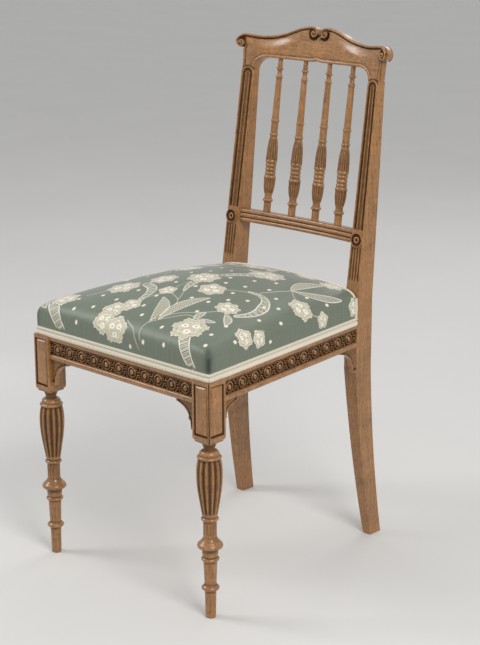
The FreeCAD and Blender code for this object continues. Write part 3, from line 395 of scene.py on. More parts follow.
# %% Turned lines
def turned_line(table, girth, length, step, ease):
    """A half section as (radius, height) points. Off the chord between two rows of the table the line swells
    by 4 * swell * t * (1 - t) chords, to the outside where swell is positive."""
    rows = np.array(table, float)
    corners = rows[:, :2] * [girth / 2, length]
    chord = np.diff(corners, axis=0)
    outward = np.stack([chord[:, 1], -chord[:, 0]], axis=1)
    t = np.linspace(0.0, 1.0, 24)[None, :, None]
    curve = corners[:-1, None] + chord[:, None] * t + outward[:, None] * 4 * rows[1:, None, 2:] * t * (1 - t)
    return even(curve.reshape(-1, 2), step, ease)


def revolve(line, steps, carve=None):
    """Carries a half section round: x = r cos a, y = r sin a, z = h. carve(a, h) is taken off r."""
    angle = np.linspace(0.0, 2 * np.pi, steps + 1)[None, :]
    radius = line[:, :1]
    height = line[:, 1:]
    cut = carve(angle, height) if carve else np.zeros((1, 1))
    radius = np.maximum(radius - cut, 0.0)
    grid = spread(radius * np.cos(angle), radius * np.sin(angle), height)
    return grid, np.broadcast_to(cut, grid.shape[:2])


def fluting(angle, count, share):
    """Round hollows side by side: 1 in the middle of each, 0 on the fillets between. share is a hollow's
    part of the pitch."""
    turn = (angle * count / (2 * np.pi)) % 1.0
    return bump(turn, 0.5, share / 2)


print("depth over one flute:", np.round(fluting(np.linspace(0.0, 2 * np.pi, 5), 1, 1.0), 2))

# %% Front legs
LEG_SPREAD = 189.5
LEG_GIRTH = 42.0
LEG_LENGTH = 303.0
LEG_LINE = [
    (0.000, 0.000, 0), (0.385, 0.000, 0), (0.402, 0.004, 0), (0.445, 0.151, 0),
    (0.520, 0.156, 0), (0.520, 0.184, 0.43),
    (0.460, 0.190, 0), (0.525, 0.316, 0),
    (0.540, 0.321, 0), (0.540, 0.346, 0.45),
    (0.600, 0.349, 0), (0.620, 0.362, -0.08), (0.735, 0.391, -0.14), (0.745, 0.397, 0),
    (0.950, 0.400, 0.04), (0.985, 0.405, 0.15), (0.980, 0.413, 0.12), (0.895, 0.423, 0.08),
    (0.750, 0.434, -0.06), (0.600, 0.446, -0.12), (0.530, 0.455, -0.06), (0.520, 0.458, 0),
    (0.520, 0.545, 0),
    (0.565, 0.547, 0), (0.565, 0.567, 0.42),
    (0.570, 0.571, 0), (0.590, 0.577, 0), (0.667, 0.607, 0), (0.733, 0.634, 0), (0.838, 0.677, 0),
    (0.938, 0.726, 0.01), (0.995, 0.766, 0.01), (1.010, 0.805, 0.01), (0.990, 0.838, 0.02),
    (0.940, 0.865, 0.02), (0.850, 0.887, 0.02),
    (0.840, 0.889, 0), (0.840, 0.907, 0.40),
    (0.775, 0.909, 0), (0.620, 0.933, 0.16),
    (0.440, 0.935, 0), (0.420, 0.940, 0), (0.735, 0.985, -0.10), (0.735, 0.987, 0), (0.000, 0.987, 0),
]
LEG_STEP = 0.8
LEG_EASE = 0.9
LEG_FLUTES = 12
FLUTE_SHARE = 0.80
BULB_FLUTES = (175.0, 270.5, 2.2)
NECK_FLUTES = (139.5, 164.5, 1.3)
SHADED_BANDS = [(284.5, 298.0, 0.6), (114.5, 121.6, 0.55)]


def leg_fluting(angle, height):
    """Depth of the flutes at each angle and height: they run out softly at the ends of bulb and neck."""
    hollow = fluting(angle, LEG_FLUTES, FLUTE_SHARE)
    depth = 0.0
    for low, high, deepest in (BULB_FLUTES, NECK_FLUTES):
        depth = depth + deepest * smooth(low, low + 5, height) * (1 - smooth(high - 4, high, height))
    return depth * hollow


leg_line = turned_line(LEG_LINE, LEG_GIRTH, LEG_LENGTH, LEG_STEP, LEG_EASE)
leg_turning, leg_cut = revolve(leg_line, LEG_FLUTES * 10, leg_fluting)
print("leg turning:", leg_turning.shape)

# %% [markdown]
# The block above is square, with a raised and fielded panel on its two show faces. It is a section
# carried upwards too: a square with eased corners, whose points are pushed in by a depth that depends on
# how far each one is inside the panel's frame. Inset and Bevel could cut the panel, but with a depth its
# groove and its field are one formula.

# %% Leg blocks
BLOCK_HALF = 18.75
BLOCK_EASE = 1.1
RAIL_TOP = 410.0
PANEL_REACH = 15.0
PANEL_LOW = 308.6
PANEL_HIGH = 391.8
PANEL_GROOVE = 2.8
GROOVE_WIDE = 2.1
FIELD_DEEP = 2.4
FIELD_BEVEL = 0.80
BLOCK_FOOT = 306.6
LEDGE = 397.4
LEDGE_DEEP = 8.2
SIDES = np.array([[0, -1], [1, 0], [0, 1], [-1, 0]], float)
ALONGS = np.array([[1, 0], [0, 1], [-1, 0], [0, -1]], float)


def square_loop(half, ease):
    """A square with eased corners as arrays: place, outward normal, side, along. The corner after side 0 has
    the number -1, the one after side 1 has -2, and so on."""
    edge = np.linspace(12.0, half - ease, 13)
    along = np.concatenate([-edge[::-1], np.linspace(-10.5, 10.5, 9), edge])
    count = len(along)
    turns = np.linspace(0, np.pi / 2, 5)[1:-1, None]
    places, normals, sides, alongs = [], [], [], []
    for side, (out, way) in enumerate(zip(SIDES, ALONGS)):
        arc = out * np.cos(turns) + way * np.sin(turns)
        places += [out * half + way * along[:, None], (out + way) * (half - ease) + arc * ease]
        normals += [np.broadcast_to(out, (count, 2)), arc]
        sides += [np.full(count, side), np.full(len(arc), -1 - side)]
        alongs += [along, np.full(len(arc), half)]
    loop = [np.concatenate(part) for part in (places, normals, sides, alongs)]
    return [np.concatenate([part, part[:1]]) for part in loop]


def block_grid(way):
    """The block's points and its hollow mark. way is 1 on the right leg and -1 on the left. The square loop
    is drawn in at the foot, pushed in along its normals by the panels, and cut back over the ledge."""
    place, normal, side, along = square_loop(BLOCK_HALF, BLOCK_EASE)
    height = np.concatenate([
        np.linspace(297.6, 299.7, 4), np.linspace(299.8, BLOCK_FOOT, 18), np.linspace(307.0, 316.0, 26),
        np.linspace(318.0, 383.0, 28), np.linspace(384.5, LEDGE - 0.4, 32), [LEDGE - 0.1, LEDGE + 0.1],
        np.linspace(LEDGE + 0.8, RAIL_TOP, 5)])[:, None]
    outer_side = 1 if way > 0 else 3
    shown = ((side == 0) | (side == outer_side))[None, :]
    from_ends = np.minimum(height - PANEL_LOW, PANEL_HIGH - height)
    inside = np.minimum(PANEL_REACH - np.abs(along)[None, :], from_ends)
    groove = PANEL_GROOVE * smooth(0.0, 0.5, inside)
    field = np.clip(FIELD_DEEP - (inside - GROOVE_WIDE) * FIELD_BEVEL, 0.1, FIELD_DEEP)
    depth = np.where(inside < GROOVE_WIDE, groove, field) * shown
    near = ((side == 0) & (along * way > 0)) | ((side == outer_side) & (along * way < 0))
    quirk = smooth(16.7, 17.1, np.abs(along)) * near + (side == (-1 if way > 0 else -4))
    push = depth + 1.0 * quirk[None, :]
    ovolo = 3.9 * (1 - bump(height, BLOCK_FOOT, 7.0)) * (height < BLOCK_FOOT)
    foot = np.where(height < 299.75, 2.9, ovolo)
    drawn = 1 - foot / BLOCK_HALF
    flat = (place[None] - normal[None] * push[..., None]) * drawn[..., None]
    edge = np.where(height > LEDGE, BLOCK_HALF - LEDGE_DEEP, BLOCK_HALF)
    flat = np.stack([way * np.minimum(way * flat[..., 0], edge), np.maximum(flat[..., 1], -edge)], axis=-1)
    # Dark wax and painted shade in the panels' grooves and in the quirks.
    hollow = 0.95 * smooth(0.0, 0.4, inside) * (1 - smooth(1.8, 2.5, inside)) * shown
    hollow = np.maximum(hollow, 0.9 * quirk[None, :]) + 0 * height
    return capped(spread(flat[..., 0], flat[..., 1], height)), wax_and_shade_marks(hollow)["hollow"]


def lathe_wax_and_shade(line, cut, deepest):
    """Dark wax and painted shade on a turning: in the flutes, and where the line turns in sharply."""
    eased = np.convolve(np.pad(line[:, 0], 5, mode="edge"), np.ones(11) / 11, "valid")
    sunk = np.clip((eased - line[:, 0]) / 1.2, 0.0, 0.8)[:, None]
    return np.clip(0.88 * (cut / deepest) ** 2 + sunk, 0.0, 1.0)


for word, side in (("left", -1), ("right", 1)):
    block, block_hollow = block_grid(side)
    shift = np.array([LEG_SPREAD * side, 0.0, 0.0])
    turning_hollow = lathe_wax_and_shade(leg_line, leg_cut, BULB_FLUTES[2])
    # Painted shade: the band under the block and the band under the knop's rim are darkened as shadow.
    for low, high, dark in SHADED_BANDS:
        turning_hollow[(leg_line[:, 1] > low) & (leg_line[:, 1] < high)] = dark
    hollow = np.concatenate([turning_hollow.ravel(), block_hollow])
    build(f"turned_leg_{word}", [leg_turning + shift, block + shift], wood_upright,
          [f"front_leg_{word}"], {"hollow": hollow})

# %% [markdown]
# The seat rails are mouldings: one section, given as inset from the rail's face and height, is carried
# along the front and along the two sides, which run in towards the back. The section has a round bead
# below, a sunk bed for the carved frieze, a small cove and fillet above it, and a ledge that the cover is
# tacked to. A bevelled curve could carry the section, but a grid also takes the mark for dark wax and
# painted shade.

# %% Seat rails
RAIL_FACE = -15.75
RAIL_LOW = 357.5
RAIL_BACK = 22.0
BED_DEEP = 6.0
LEDGE_STEP = 3.5
SIDE_FRONT = 202.25
SIDE_SLOPE = 0.10804
POST_FRONT = 389.0
bead_turn = np.linspace(-np.pi / 2, np.pi / 2, 16)
cove_turn = bead_turn[8:]
RAIL_BEAD = np.stack([2.9 - 2.9 * np.cos(bead_turn), 362.0 + 4.5 * np.sin(bead_turn)], axis=1)
RAIL_COVE = np.stack([2.2 - 2.2 * np.sin(cove_turn), 391.2 + 3.0 * (1 - np.cos(cove_turn))], axis=1)
RAIL_SECTION = np.concatenate([
    [(RAIL_BACK, RAIL_TOP), (RAIL_BACK, RAIL_LOW)], RAIL_BEAD,
    [(4.2, 366.8), (BED_DEEP, 367.0), (BED_DEEP, 389.0), (2.2, 389.3)], RAIL_COVE,
    [(0.0, 394.2), (0.0, LEDGE), (LEDGE_STEP, LEDGE + 0.1), (LEDGE_STEP, RAIL_TOP), (RAIL_BACK, RAIL_TOP)]])


def side_face(along):
    """Half the seat's width over the rails' faces at a distance behind the front legs' axes."""
    return SIDE_FRONT - (along - BLOCK_HALF) * SIDE_SLOPE


def rail_wax_and_shade(section):
    """Dark wax and painted shade in the quirks beside the bead and the bed: where the section lies
    deep in its face.
    """
    deep = (section[:, 0] > 2.0) & (section[:, 0] < 7.0) & (section[:, 1] < 391.0)
    return deep.astype(float)


rail_line = even(RAIL_SECTION, 0.7, 0.5)
rail_inset, rail_level = rail_line.T[:, None, :]
rail_reach = LEG_SPREAD - BLOCK_HALF
rail_x = np.linspace(-rail_reach, rail_reach, 24)[:, None]
front_rail = spread(rail_x, RAIL_FACE + rail_inset, rail_level)
rail_marks = wax_and_shade_marks(np.broadcast_to(rail_wax_and_shade(rail_line), front_rail.shape[:2]))
build("moulded_rail_front", [capped(front_rail)], wood_across, ["front_rail"], rail_marks)
rail_y = np.linspace(BLOCK_HALF, POST_FRONT, 24)[:, None]
for word, side in (("left", -1), ("right", 1)):
    side_rail = spread(side * (side_face(rail_y) - rail_inset), rail_y, rail_level)
    build(f"moulded_rail_{word}", [capped(side_rail)], wood_along, [f"{word}_rail"], rail_marks)

# %% [markdown]
# The friezes are carved with a row of rings. Each ring holds an oval boss, and between one ring and the
# next stand a cross of beads and four small leaves. The carver's depth is one height field over the
# strip: a ridge where the distance to the ring's centre is the ring's radius, a dome for the boss, and
# small domes for the beads and leaves. They could be sculpted, but a formula repeats evenly.

# %% Carved friezes
FRIEZE_MIDDLE = 377.75
FRIEZE_HALF = 11.0
FRIEZE_GROUND = 5.4
RING_COUNT = 11
RING_RADIUS = 8.1
RING_HALF = 1.8
RING_SHIFT = -1.2
FRIEZE_BACK = 6.0
BOSS = (4.0, 5.3, 4.6)
BEADS = [(1.7, 2.4, 1.4, 3.4), (3.0, 5.8, 1.5, 3.4)]
LEAF_DOME = (5.4, 8.5, 1.6, 3.0)
carved_across = polished_satinwood("carved_satinwood_across", 0, "#93673c")
carved_along = polished_satinwood("carved_satinwood_along", 1, "#93673c")


def domes(right, up, dome):
    """Half spheres, each (place from the gap's middle, place from the strip's middle, size, height):
    height sqrt(1 - away^2 / size^2)."""
    from_gap, from_middle, size, height = dome
    away = (right - from_gap) ** 2 + (up - from_middle) ** 2
    return height * np.sqrt(np.clip(1 - away / size ** 2, 0, 1))


def carving(run, rise, pitch):
    """Height of the carving over its ground, and its dark wax and painted shade, at a run along the
    strip and a rise on it.
    """
    step = ((run - RING_SHIFT) / pitch + 0.5) % 1.0 - 0.5
    from_ring = step * pitch
    from_gap = (0.5 - np.abs(step)) * pitch
    distance = np.hypot(from_ring, rise)
    ring = 3.3 * bump(distance, RING_RADIUS, RING_HALF)
    boss = BOSS[2] * np.sqrt(np.clip(1 - (from_ring / BOSS[0]) ** 2 - (rise / BOSS[1]) ** 2, 0, 1))
    small = [domes(from_gap, np.abs(rise), dome) for dome in (*BEADS, LEAF_DOME)]
    rim = 3.4 * smooth(9.8, 10.3, np.abs(rise)) + 0 * run
    height = np.maximum.reduce([ring, boss, *small, rim])
    wax_and_shade = 0.97 * (1 - smooth(1.0, 2.7, height))
    # Painted light and shade: the rings are painted darker low down and lighter on top, as lit from above.
    shaded = (0.55 - 0.50 * smooth(-1.0, 6.0, rise)) * (np.abs(distance - RING_RADIUS) < RING_HALF)
    return height, np.maximum(wax_and_shade, shaded)


def frieze_piece(name, node, finish, length, middle, place):
    """A carved strip as a tube: its front rows carry the carving, two more rows close it behind."""
    run = np.linspace(-length / 2, length / 2, int(length / 0.6))[:, None]
    rise = np.linspace(-FRIEZE_HALF, FRIEZE_HALF, 45)[None, :]
    height, wax_and_shade = carving(run, rise, length / (RING_COUNT + 0.25))
    front = FRIEZE_GROUND - height
    inset = np.concatenate([front, np.full((len(run), 2), FRIEZE_BACK), front[:, :1]], axis=1)
    level = np.concatenate([rise[0], [FRIEZE_HALF, -FRIEZE_HALF, -FRIEZE_HALF]])[None, :] + FRIEZE_MIDDLE
    hollow = np.concatenate([wax_and_shade, np.zeros((len(run), 3))], axis=1)
    grid = place(run + middle, inset, np.broadcast_to(level, inset.shape))
    build(name, [capped(grid)], finish, [node], wax_and_shade_marks(hollow), crease=70.0)


def on_front(run, inset, level):
    """A place of the front strip: its run is the x, and its inset counts back from the rail's face."""
    return spread(run, RAIL_FACE + inset, level)


FRIEZE_GAP = 0.6
frieze_piece("carved_frieze_front", "front_frieze", carved_across, 2 * rail_reach - FRIEZE_GAP, 0.0,
             on_front)
for word, side in (("left", -1), ("right", 1)):
    def on_side(run, inset, level, side=side):
        """A place of a side strip: its run is the y, and its inset counts in from the slanting face."""
        return spread(side * (side_face(run) - inset), run, level)

    frieze_piece(f"carved_frieze_{word}", f"{word}_frieze", carved_along,
                 POST_FRONT - BLOCK_HALF - FRIEZE_GAP, (POST_FRONT + BLOCK_HALF) / 2, on_side)

# %% [markdown]
# A bracket fills each corner under the rails. Its free edge is a hollow curve with a small scroll on it,
# and a thin bead follows that edge. The grid fans out from the corner: one parameter runs along the curve
# and the other from the corner to it. A filled curve could make it, but in the fan the bead follows the
# edge by itself.

# %% Brackets
BRACKET_LONG = 42.0
BRACKET_TALL = 45.0
BRACKET_EDGE = 4.0
BRACKET_TOE = 9.0
BRACKET_INSET = 8.0
BRACKET_HALF = 5.0


def bracket_grid():
    """A bracket as (inward, down, out) from its corner: front rows from corner to edge, then back again."""
    t = np.linspace(0.0, 1.0, 70)[:, None]
    toe = np.array([BRACKET_TOE, -BRACKET_TALL])
    tip = np.array([BRACKET_LONG, -BRACKET_EDGE])
    chord = tip - toe
    to_corner = np.array([-chord[1], chord[0]])
    scroll = 0.06 * np.exp(-((t - 0.30) / 0.05) ** 2)
    edge = toe + chord * t + to_corner * (0.21 * 4 * t * (1 - t) - scroll)
    ends = [np.array([[0.0, -BRACKET_TALL]]), edge, np.array([[BRACKET_LONG, 0.0]])]
    edge = np.concatenate(ends)
    share = np.concatenate([np.linspace(0.0, 0.7, 6), np.linspace(0.74, 1.0, 12)])[None, :]
    relief = 1.1 * smooth(0.86, 0.90, share) - 0.9 * np.exp(-((share - 0.84) / 0.03) ** 2)
    round_edge = 1.6 * (1 - np.sqrt(np.clip(1 - np.clip((share - 0.94) / 0.06, 0, 1) ** 2, 0, 1)))
    thick = BRACKET_HALF - 1.3 + relief - round_edge
    flat = edge[:, None, :] * share[..., None]
    thick = np.broadcast_to(thick, flat.shape[:2])
    front = np.concatenate([flat, -thick[..., None]], axis=-1)
    back = np.concatenate([flat, thick[..., None]], axis=-1)[:, ::-1]
    # Dark wax and painted shade: strong in the groove inside the bead, lighter over the field within it.
    hollow = np.maximum(0.95 * np.exp(-((share - 0.83) / 0.06) ** 2), 0.4 * (share < 0.85))
    hollow = np.broadcast_to(hollow, thick.shape)
    grid = np.concatenate([front, back, front[:, :1]], axis=1)
    return grid, np.concatenate([hollow, hollow[:, ::-1], hollow[:, :1]], axis=1)


bracket, bracket_hollow = bracket_grid()
bracket_marks = wax_and_shade_marks(bracket_hollow)
inward, down, out = np.moveaxis(bracket, -1, 0)
rail_middle = RAIL_FACE + BRACKET_INSET
for word, side in (("left", -1), ("right", 1)):
    grid = spread(side * (rail_reach - inward), rail_middle + out, RAIL_LOW + down)
    build(f"bracket_front_{word}", [capped(grid)], wood_across, [f"front_bracket_{word}"],
          bracket_marks)
    for end, corner, way in (("front", BLOCK_HALF, 1), ("rear", POST_FRONT, -1)):
        across = side * (side_face(corner + way * BRACKET_LONG / 2) - BRACKET_INSET)
        grid = spread(across - side * out, corner + way * inward, RAIL_LOW + down)
        build(f"bracket_{word}_{end}", [capped(grid)], wood_along, [f"{word}_bracket_{end}"],
              bracket_marks)

# %% [markdown]
# The back leans, so it has a frame of its own: up runs along the stiles from the seat, and behind is
# square to their faces. The crest, the stay rail and the spindles also bow: they follow a circle in plan.
# Upright pieces could be turned and bent, but finished pieces stay unturned, so two functions place each
# point.

# %% The leaning, bowed back
SEAT_LEVEL = 443.0
LEAN = math.radians(7.8)
BOW_RADIUS = 745.0
BOW_DEPTH = 17.0


def leaned(across, up, behind):
    """A place of the leaning back in the seat's frame: turned by the lean about the seat's back edge."""
    along = POST_FRONT + up * math.sin(LEAN) + behind * math.cos(LEAN)
    height = SEAT_LEVEL + up * math.cos(LEAN) - behind * math.sin(LEAN)
    return spread(across, along, height)


def bow(across, radius=BOW_RADIUS, middle=BOW_DEPTH):
    """How far behind the stiles' faces the bow lies: middle - R + sqrt(R^2 - across^2)."""
    return middle - radius + np.sqrt(radius ** 2 - across ** 2)


print("bow at 100 mm from the middle:", round(float(bow(0.0) - bow(100.0)), 1), "mm")

# %% [markdown]
# Four spindles stand between the stay rail and the crest. They are turned as the legs are, with fine
# reeds on their two vases. One is worked out and placed four times on the bow. Linked copies could do it,
# but each piece has its place in its own mesh.

# %% Spindles
STAY_HIGH = 116.0
SPINDLE_TOP = 390.5
SPINDLE_GIRTH = 20.6
SPINDLES = (-83.4, -27.6, 27.6, 83.4)
SPINDLE_LINE = [
    (0.000, -0.030, 0), (0.650, -0.030, 0), (0.650, 0.065, 0),
    (0.710, 0.067, 0), (0.710, 0.087, 0.40), (0.650, 0.089, 0), (0.640, 0.098, 0.1),
    (0.620, 0.107, 0), (0.985, 0.212, 0.05), (0.850, 0.241, 0.18),
    (0.830, 0.243, 0), (0.830, 0.263, 0.24), (0.790, 0.265, 0),
    (0.830, 0.268, 0), (0.830, 0.289, 0.22), (0.790, 0.291, 0),
    (0.830, 0.294, 0), (0.830, 0.316, 0.22),
    (0.850, 0.318, 0), (0.990, 0.340, 0.14), (0.970, 0.372, 0.03), (0.610, 0.493, 0.03),
    (0.630, 0.495, 0), (0.630, 0.514, 0.30), (0.610, 0.516, 0),
    (0.625, 0.587, 0), (0.645, 0.588, 0), (0.645, 0.603, 0.28), (0.605, 0.605, 0),
    (0.505, 0.865, 0), (0.520, 0.867, 0), (0.520, 0.882, 0.32),
    (0.495, 0.884, 0), (0.405, 0.918, -0.06),
    (0.470, 0.920, 0), (0.470, 0.937, 0.40),
    (0.403, 0.940, 0), (0.403, 1.030, 0), (0.000, 1.030, 0),
]
SPINDLE_STEP = 0.75
SPINDLE_REEDS = 14
REED_DEEP = 0.9
REEDED = [(0.108, 0.236), (0.326, 0.486)]
RUN_OUT = 0.02
SPINDLE_WAX_AND_SHADE = 0.78


def spindle_fluting(angle, height):
    """Fine reeds on the two vases of a spindle; height counts from the stay rail."""
    length = SPINDLE_TOP - STAY_HIGH
    depth = 0.0
    for low, high in REEDED:
        starts = smooth(low * length, (low + RUN_OUT) * length, height)
        depth = depth + starts * (1 - smooth((high - RUN_OUT) * length, high * length, height))
    return REED_DEEP * depth * fluting(angle, SPINDLE_REEDS, FLUTE_SHARE)


spindle_line = turned_line(SPINDLE_LINE, SPINDLE_GIRTH, SPINDLE_TOP - STAY_HIGH, SPINDLE_STEP, SPINDLE_STEP)
spindle, spindle_cut = revolve(spindle_line, SPINDLE_REEDS * 6, spindle_fluting)
spindle_marks = {"hollow": SPINDLE_WAX_AND_SHADE * lathe_wax_and_shade(spindle_line, spindle_cut, REED_DEEP).ravel()}
STAY_THICK = 19.0
for number, across in enumerate(SPINDLES, start=1):
    behind = bow(across, BOW_RADIUS + STAY_THICK / 2, BOW_DEPTH + STAY_THICK / 2)
    grid = leaned(across + spindle[..., 0], STAY_HIGH + spindle[..., 2], behind + spindle[..., 1])
    build(f"turned_spindle_{number}", [grid], wood_upright, [f"spindle_{number}"],
          spindle_marks)

# %% [markdown]
# The stay rail ties the posts together below the spindles. Its front has three reeds side by side, half
# rounds in a section that is carried along the bow. A bevelled curve could do it, but the grid also takes
# the dark wax and painted shade between the reeds.

# %% Stay rail
STAY_LOW = 92.0
STAY_REACH = 133.0
STAY_REEDS = (-8.0, 0.0, 8.0)
REED_RISE = 2.3
REED_HALF = 3.6
reed_turn = np.linspace(-np.pi / 2, np.pi / 2, 12)
reed = np.stack([REED_RISE - REED_RISE * np.cos(reed_turn), REED_HALF * np.sin(reed_turn)], axis=1)
stay_middle = (STAY_LOW + STAY_HIGH) / 2
stay_front = [reed + [0.0, stay_middle + centre] for centre in STAY_REEDS]
stay_section = np.concatenate([[(STAY_THICK, STAY_HIGH), (STAY_THICK, STAY_LOW)], *stay_front,
                               [(STAY_THICK, STAY_HIGH)]])
stay_line = even(stay_section, 0.5, 0.45)
stay_x = np.linspace(-STAY_REACH, STAY_REACH, 60)[:, None]
stay = leaned(stay_x, stay_line[None, :, 1], bow(stay_x) + stay_line[None, :, 0])
stay_sunk = ((stay_line[:, 0] > 1.8) & (stay_line[:, 0] < 3.5)).astype(float)
stay_marks = wax_and_shade_marks(np.broadcast_to(stay_sunk, stay.shape[:2]))
build("reeded_stay_rail", [capped(stay)], wood_across, ["stay_rail"], stay_marks)

# %% [markdown]
# Each rear post is a sabre leg that runs on upwards as a stile. Its section is a rectangle whose four
# sides come from the side and front outlines. The stile's front is carved: a sunk channel with a round
# head, a bead bent over inside it like a hairpin, and four short flutes below the rosette. A box with
# loop cuts could give the post, but rows worked out by a formula keep its sweep smooth and its carving
# even.

# %% Stile carving
POST_INNERS = [(0.0, 148.0), (314.5, 133.0), (443.0, 134.0), (808.0, 130.8)]
POST_OUTERS = [(0.0, 165.0), (314.5, 161.0), (443.0, 161.4), (808.0, 156.0)]
POST_DEPTH = 40.0
POST_TOP_DEPTH = 20.0
CREST_JOINT = 368.5
CURVE_TOP = 314.5
FOOT_FRONT = 41.0
FOOT_DEPTH = 29.0
CHANNEL_EDGE = 2.5
CHANNEL_LOW = 117.0
CHANNEL_HIGH = 367.0
CHANNEL_DEEP = 2.9
HAIRPIN = 6.5
FLUTE_DEEP = 2.0
FLUTE_PITCH = 5.9
FLUTE_LOW = 29.0
FLUTE_HIGH = 87.0
TOP_SLANT = 5.0


def stile_relief(across, up, inner, outer):
    """Depth below the stile's face, and its dark wax and painted shade. The channel's walls are the lines a
    set edge in from the stile's sides, and above the spring a half circle. The hairpin follows them at a
    distance."""
    middle = (inner + outer) / 2
    half = (outer - inner) / 2 - CHANNEL_EDGE
    over = np.maximum(up - (CHANNEL_HIGH - half), 0.0)
    walls = half - np.hypot(across - middle, over)
    inside = np.minimum(walls, up - CHANNEL_LOW)
    channel = CHANNEL_DEEP * smooth(0.0, 0.8, inside)
    hairpin = 2.6 * bump(walls, HAIRPIN, 1.25) * smooth(0.0, 0.8, inside)
    turn = ((across - middle) / FLUTE_PITCH) % 1.0
    ends = smooth(FLUTE_LOW, FLUTE_LOW + 1.6, up) * (1 - smooth(FLUTE_HIGH - 1.6, FLUTE_HIGH, up))
    flutes = FLUTE_DEEP * bump(turn, 0.5, 0.31) * ends * (np.abs(across - middle) < 2 * FLUTE_PITCH)
    spandrel = smooth(-3.0, -3.4, walls) * (over > 0)
    depth = np.maximum.reduce([channel - hairpin, flutes, 1.3 * spandrel])
    sunk = np.clip((channel - hairpin) / CHANNEL_DEEP, 0, 1)
    channel_wax_and_shade = (0.80 - 0.3 * smooth(HAIRPIN, HAIRPIN + 1.0, walls)) * sunk
    return depth, np.maximum.reduce([channel_wax_and_shade, 0.8 * flutes / FLUTE_DEEP, 0.8 * spandrel])


print("stile channel:", CHANNEL_HIGH - CHANNEL_LOW, "mm long")

# %% Rear posts
def post_rows():
    """Rows of the post from foot to joint: front and back edges (along, height) and the stile's up."""
    leg = np.linspace(0.0, 1.0, 26)[:-1]
    sweep = 4 * leg * (1 - leg)
    foot_back = FOOT_FRONT + FOOT_DEPTH - POST_DEPTH
    front_leg = np.stack([POST_FRONT + FOOT_FRONT * (1 - leg) - 5.1 * sweep, CURVE_TOP * leg], axis=1)
    back_along = POST_FRONT + POST_DEPTH + foot_back * (1 - leg) - 5.7 * sweep
    back_leg = np.stack([back_along, CURVE_TOP * leg], axis=1)
    seat = np.linspace(CURVE_TOP, SEAT_LEVEL, 12)[:-1]
    front_seat = np.stack([np.full_like(seat, POST_FRONT), seat], axis=1)
    back_seat = front_seat + [POST_DEPTH, 0.0]
    up = np.linspace(0.0, CREST_JOINT, 420)
    front_stile = leaned(0.0, up, 0.0)[:, 1:]
    top = leaned(0.0, CREST_JOINT, POST_TOP_DEPTH)[1:]
    share = (up / CREST_JOINT)[:, None]
    back_stile = np.array([POST_FRONT + POST_DEPTH, SEAT_LEVEL]) * (1 - share) + top * share
    front = np.concatenate([front_leg, front_seat, front_stile])
    back = np.concatenate([back_leg, back_seat, back_stile])
    level = np.concatenate([CURVE_TOP * leg, seat, SEAT_LEVEL + up * math.cos(LEAN)])
    ups = np.concatenate([np.full(len(leg) + len(seat), -10.0), up])
    return front, back, level, ups


def post_grid(side):
    """A post's rows as loops: the front from inside to outside, then the outer side, back and inner side."""
    front, back, level, up = post_rows()
    inner = np.interp(level, *np.array(POST_INNERS).T)[:, None]
    outer = np.interp(level, *np.array(POST_OUTERS).T)[:, None]
    across = inner + 0.45 + (outer - inner - 0.9) * np.linspace(0.0, 1.0, 72)[None, :]
    relief, wax_and_shade = stile_relief(across, up[:, None], inner, outer)
    depth = (back - front)[:, None, :]
    reach = np.hypot(*np.moveaxis(depth, -1, 0))
    edge = np.minimum(across - inner, outer - across)
    slant = TOP_SLANT * np.clip(up[:, None] / CREST_JOINT, 0.0, 1.0) * (outer - across) / (outer - inner)
    push = relief + 0.5 * np.exp(-edge / 0.5) + slant
    face = front[:, None, :] + depth / reach[..., None] * push[..., None]
    turn = np.concatenate([np.linspace(0.05, 0.95, 8), [0.99]])[None, :]
    outer_side = face[:, -1:] * (1 - turn[..., None]) + back[:, None, :] * turn[..., None]
    inner_side = (face[:, :1] * (1 - turn[..., None]) + back[:, None, :] * turn[..., None])[:, ::-1]
    back_side = np.broadcast_to(back[:, None, :], (len(back), 6, 2))
    back_across = inner + 0.6 + (outer - inner - 1.2) * np.linspace(1.0, 0.0, 6)[None, :]
    straight = turn.size
    sides = [np.broadcast_to(line, (len(up), straight)) for line in (outer, inner)]
    ways = np.concatenate([across, sides[0], back_across, sides[1], across[:, :1]], axis=1)
    profiles = np.concatenate([face, outer_side, back_side, inner_side, face[:, :1]], axis=1)
    plain = np.zeros((len(up), 2 * straight + back_across.shape[1]))
    marks = np.concatenate([wax_and_shade, plain, wax_and_shade[:, :1]], axis=1)
    return capped(spread(side * ways, profiles[..., 0], profiles[..., 1])), wax_and_shade_marks(marks)


for word, side in (("left", -1), ("right", 1)):
    post, post_marks = post_grid(side)
    build(f"sabre_post_{word}", [post], wood_upright, [f"rear_post_{word}"], post_marks)

# %% [markdown]
# A turned rosette sits on each post at the stay rail's level: a rim, a sunk ring and a button with a
# hollow eye. It is a turning like the legs, with its axis pointing forwards. The Screw modifier could
# make it, but the same two functions are at hand.

# %% Rosettes
ROSETTE_UP = 100.0
ROSETTE_AWAY = 147.3
ROSETTE_GIRTH = 25.0
ROSETTE_TALL = 4.5
ROSETTE_STEP = 0.25
ROSETTE_LINE = [
    (0.00, -0.50, 0), (0.97, -0.50, 0), (1.00, 0.40, 0), (0.98, 0.80, 0), (0.93, 0.92, 0.2),
    (0.89, 0.80, 0.1), (0.85, 0.22, 0), (0.47, 0.16, 0), (0.44, 0.60, 0), (0.38, 0.86, 0.2),
    (0.28, 0.86, 0.15), (0.20, 0.60, 0.1), (0.16, 0.12, 0), (0.00, 0.12, 0),
]
rosette_line = turned_line(ROSETTE_LINE, ROSETTE_GIRTH, ROSETTE_TALL, ROSETTE_STEP, ROSETTE_STEP)
rosette = revolve(rosette_line, 72)[0]
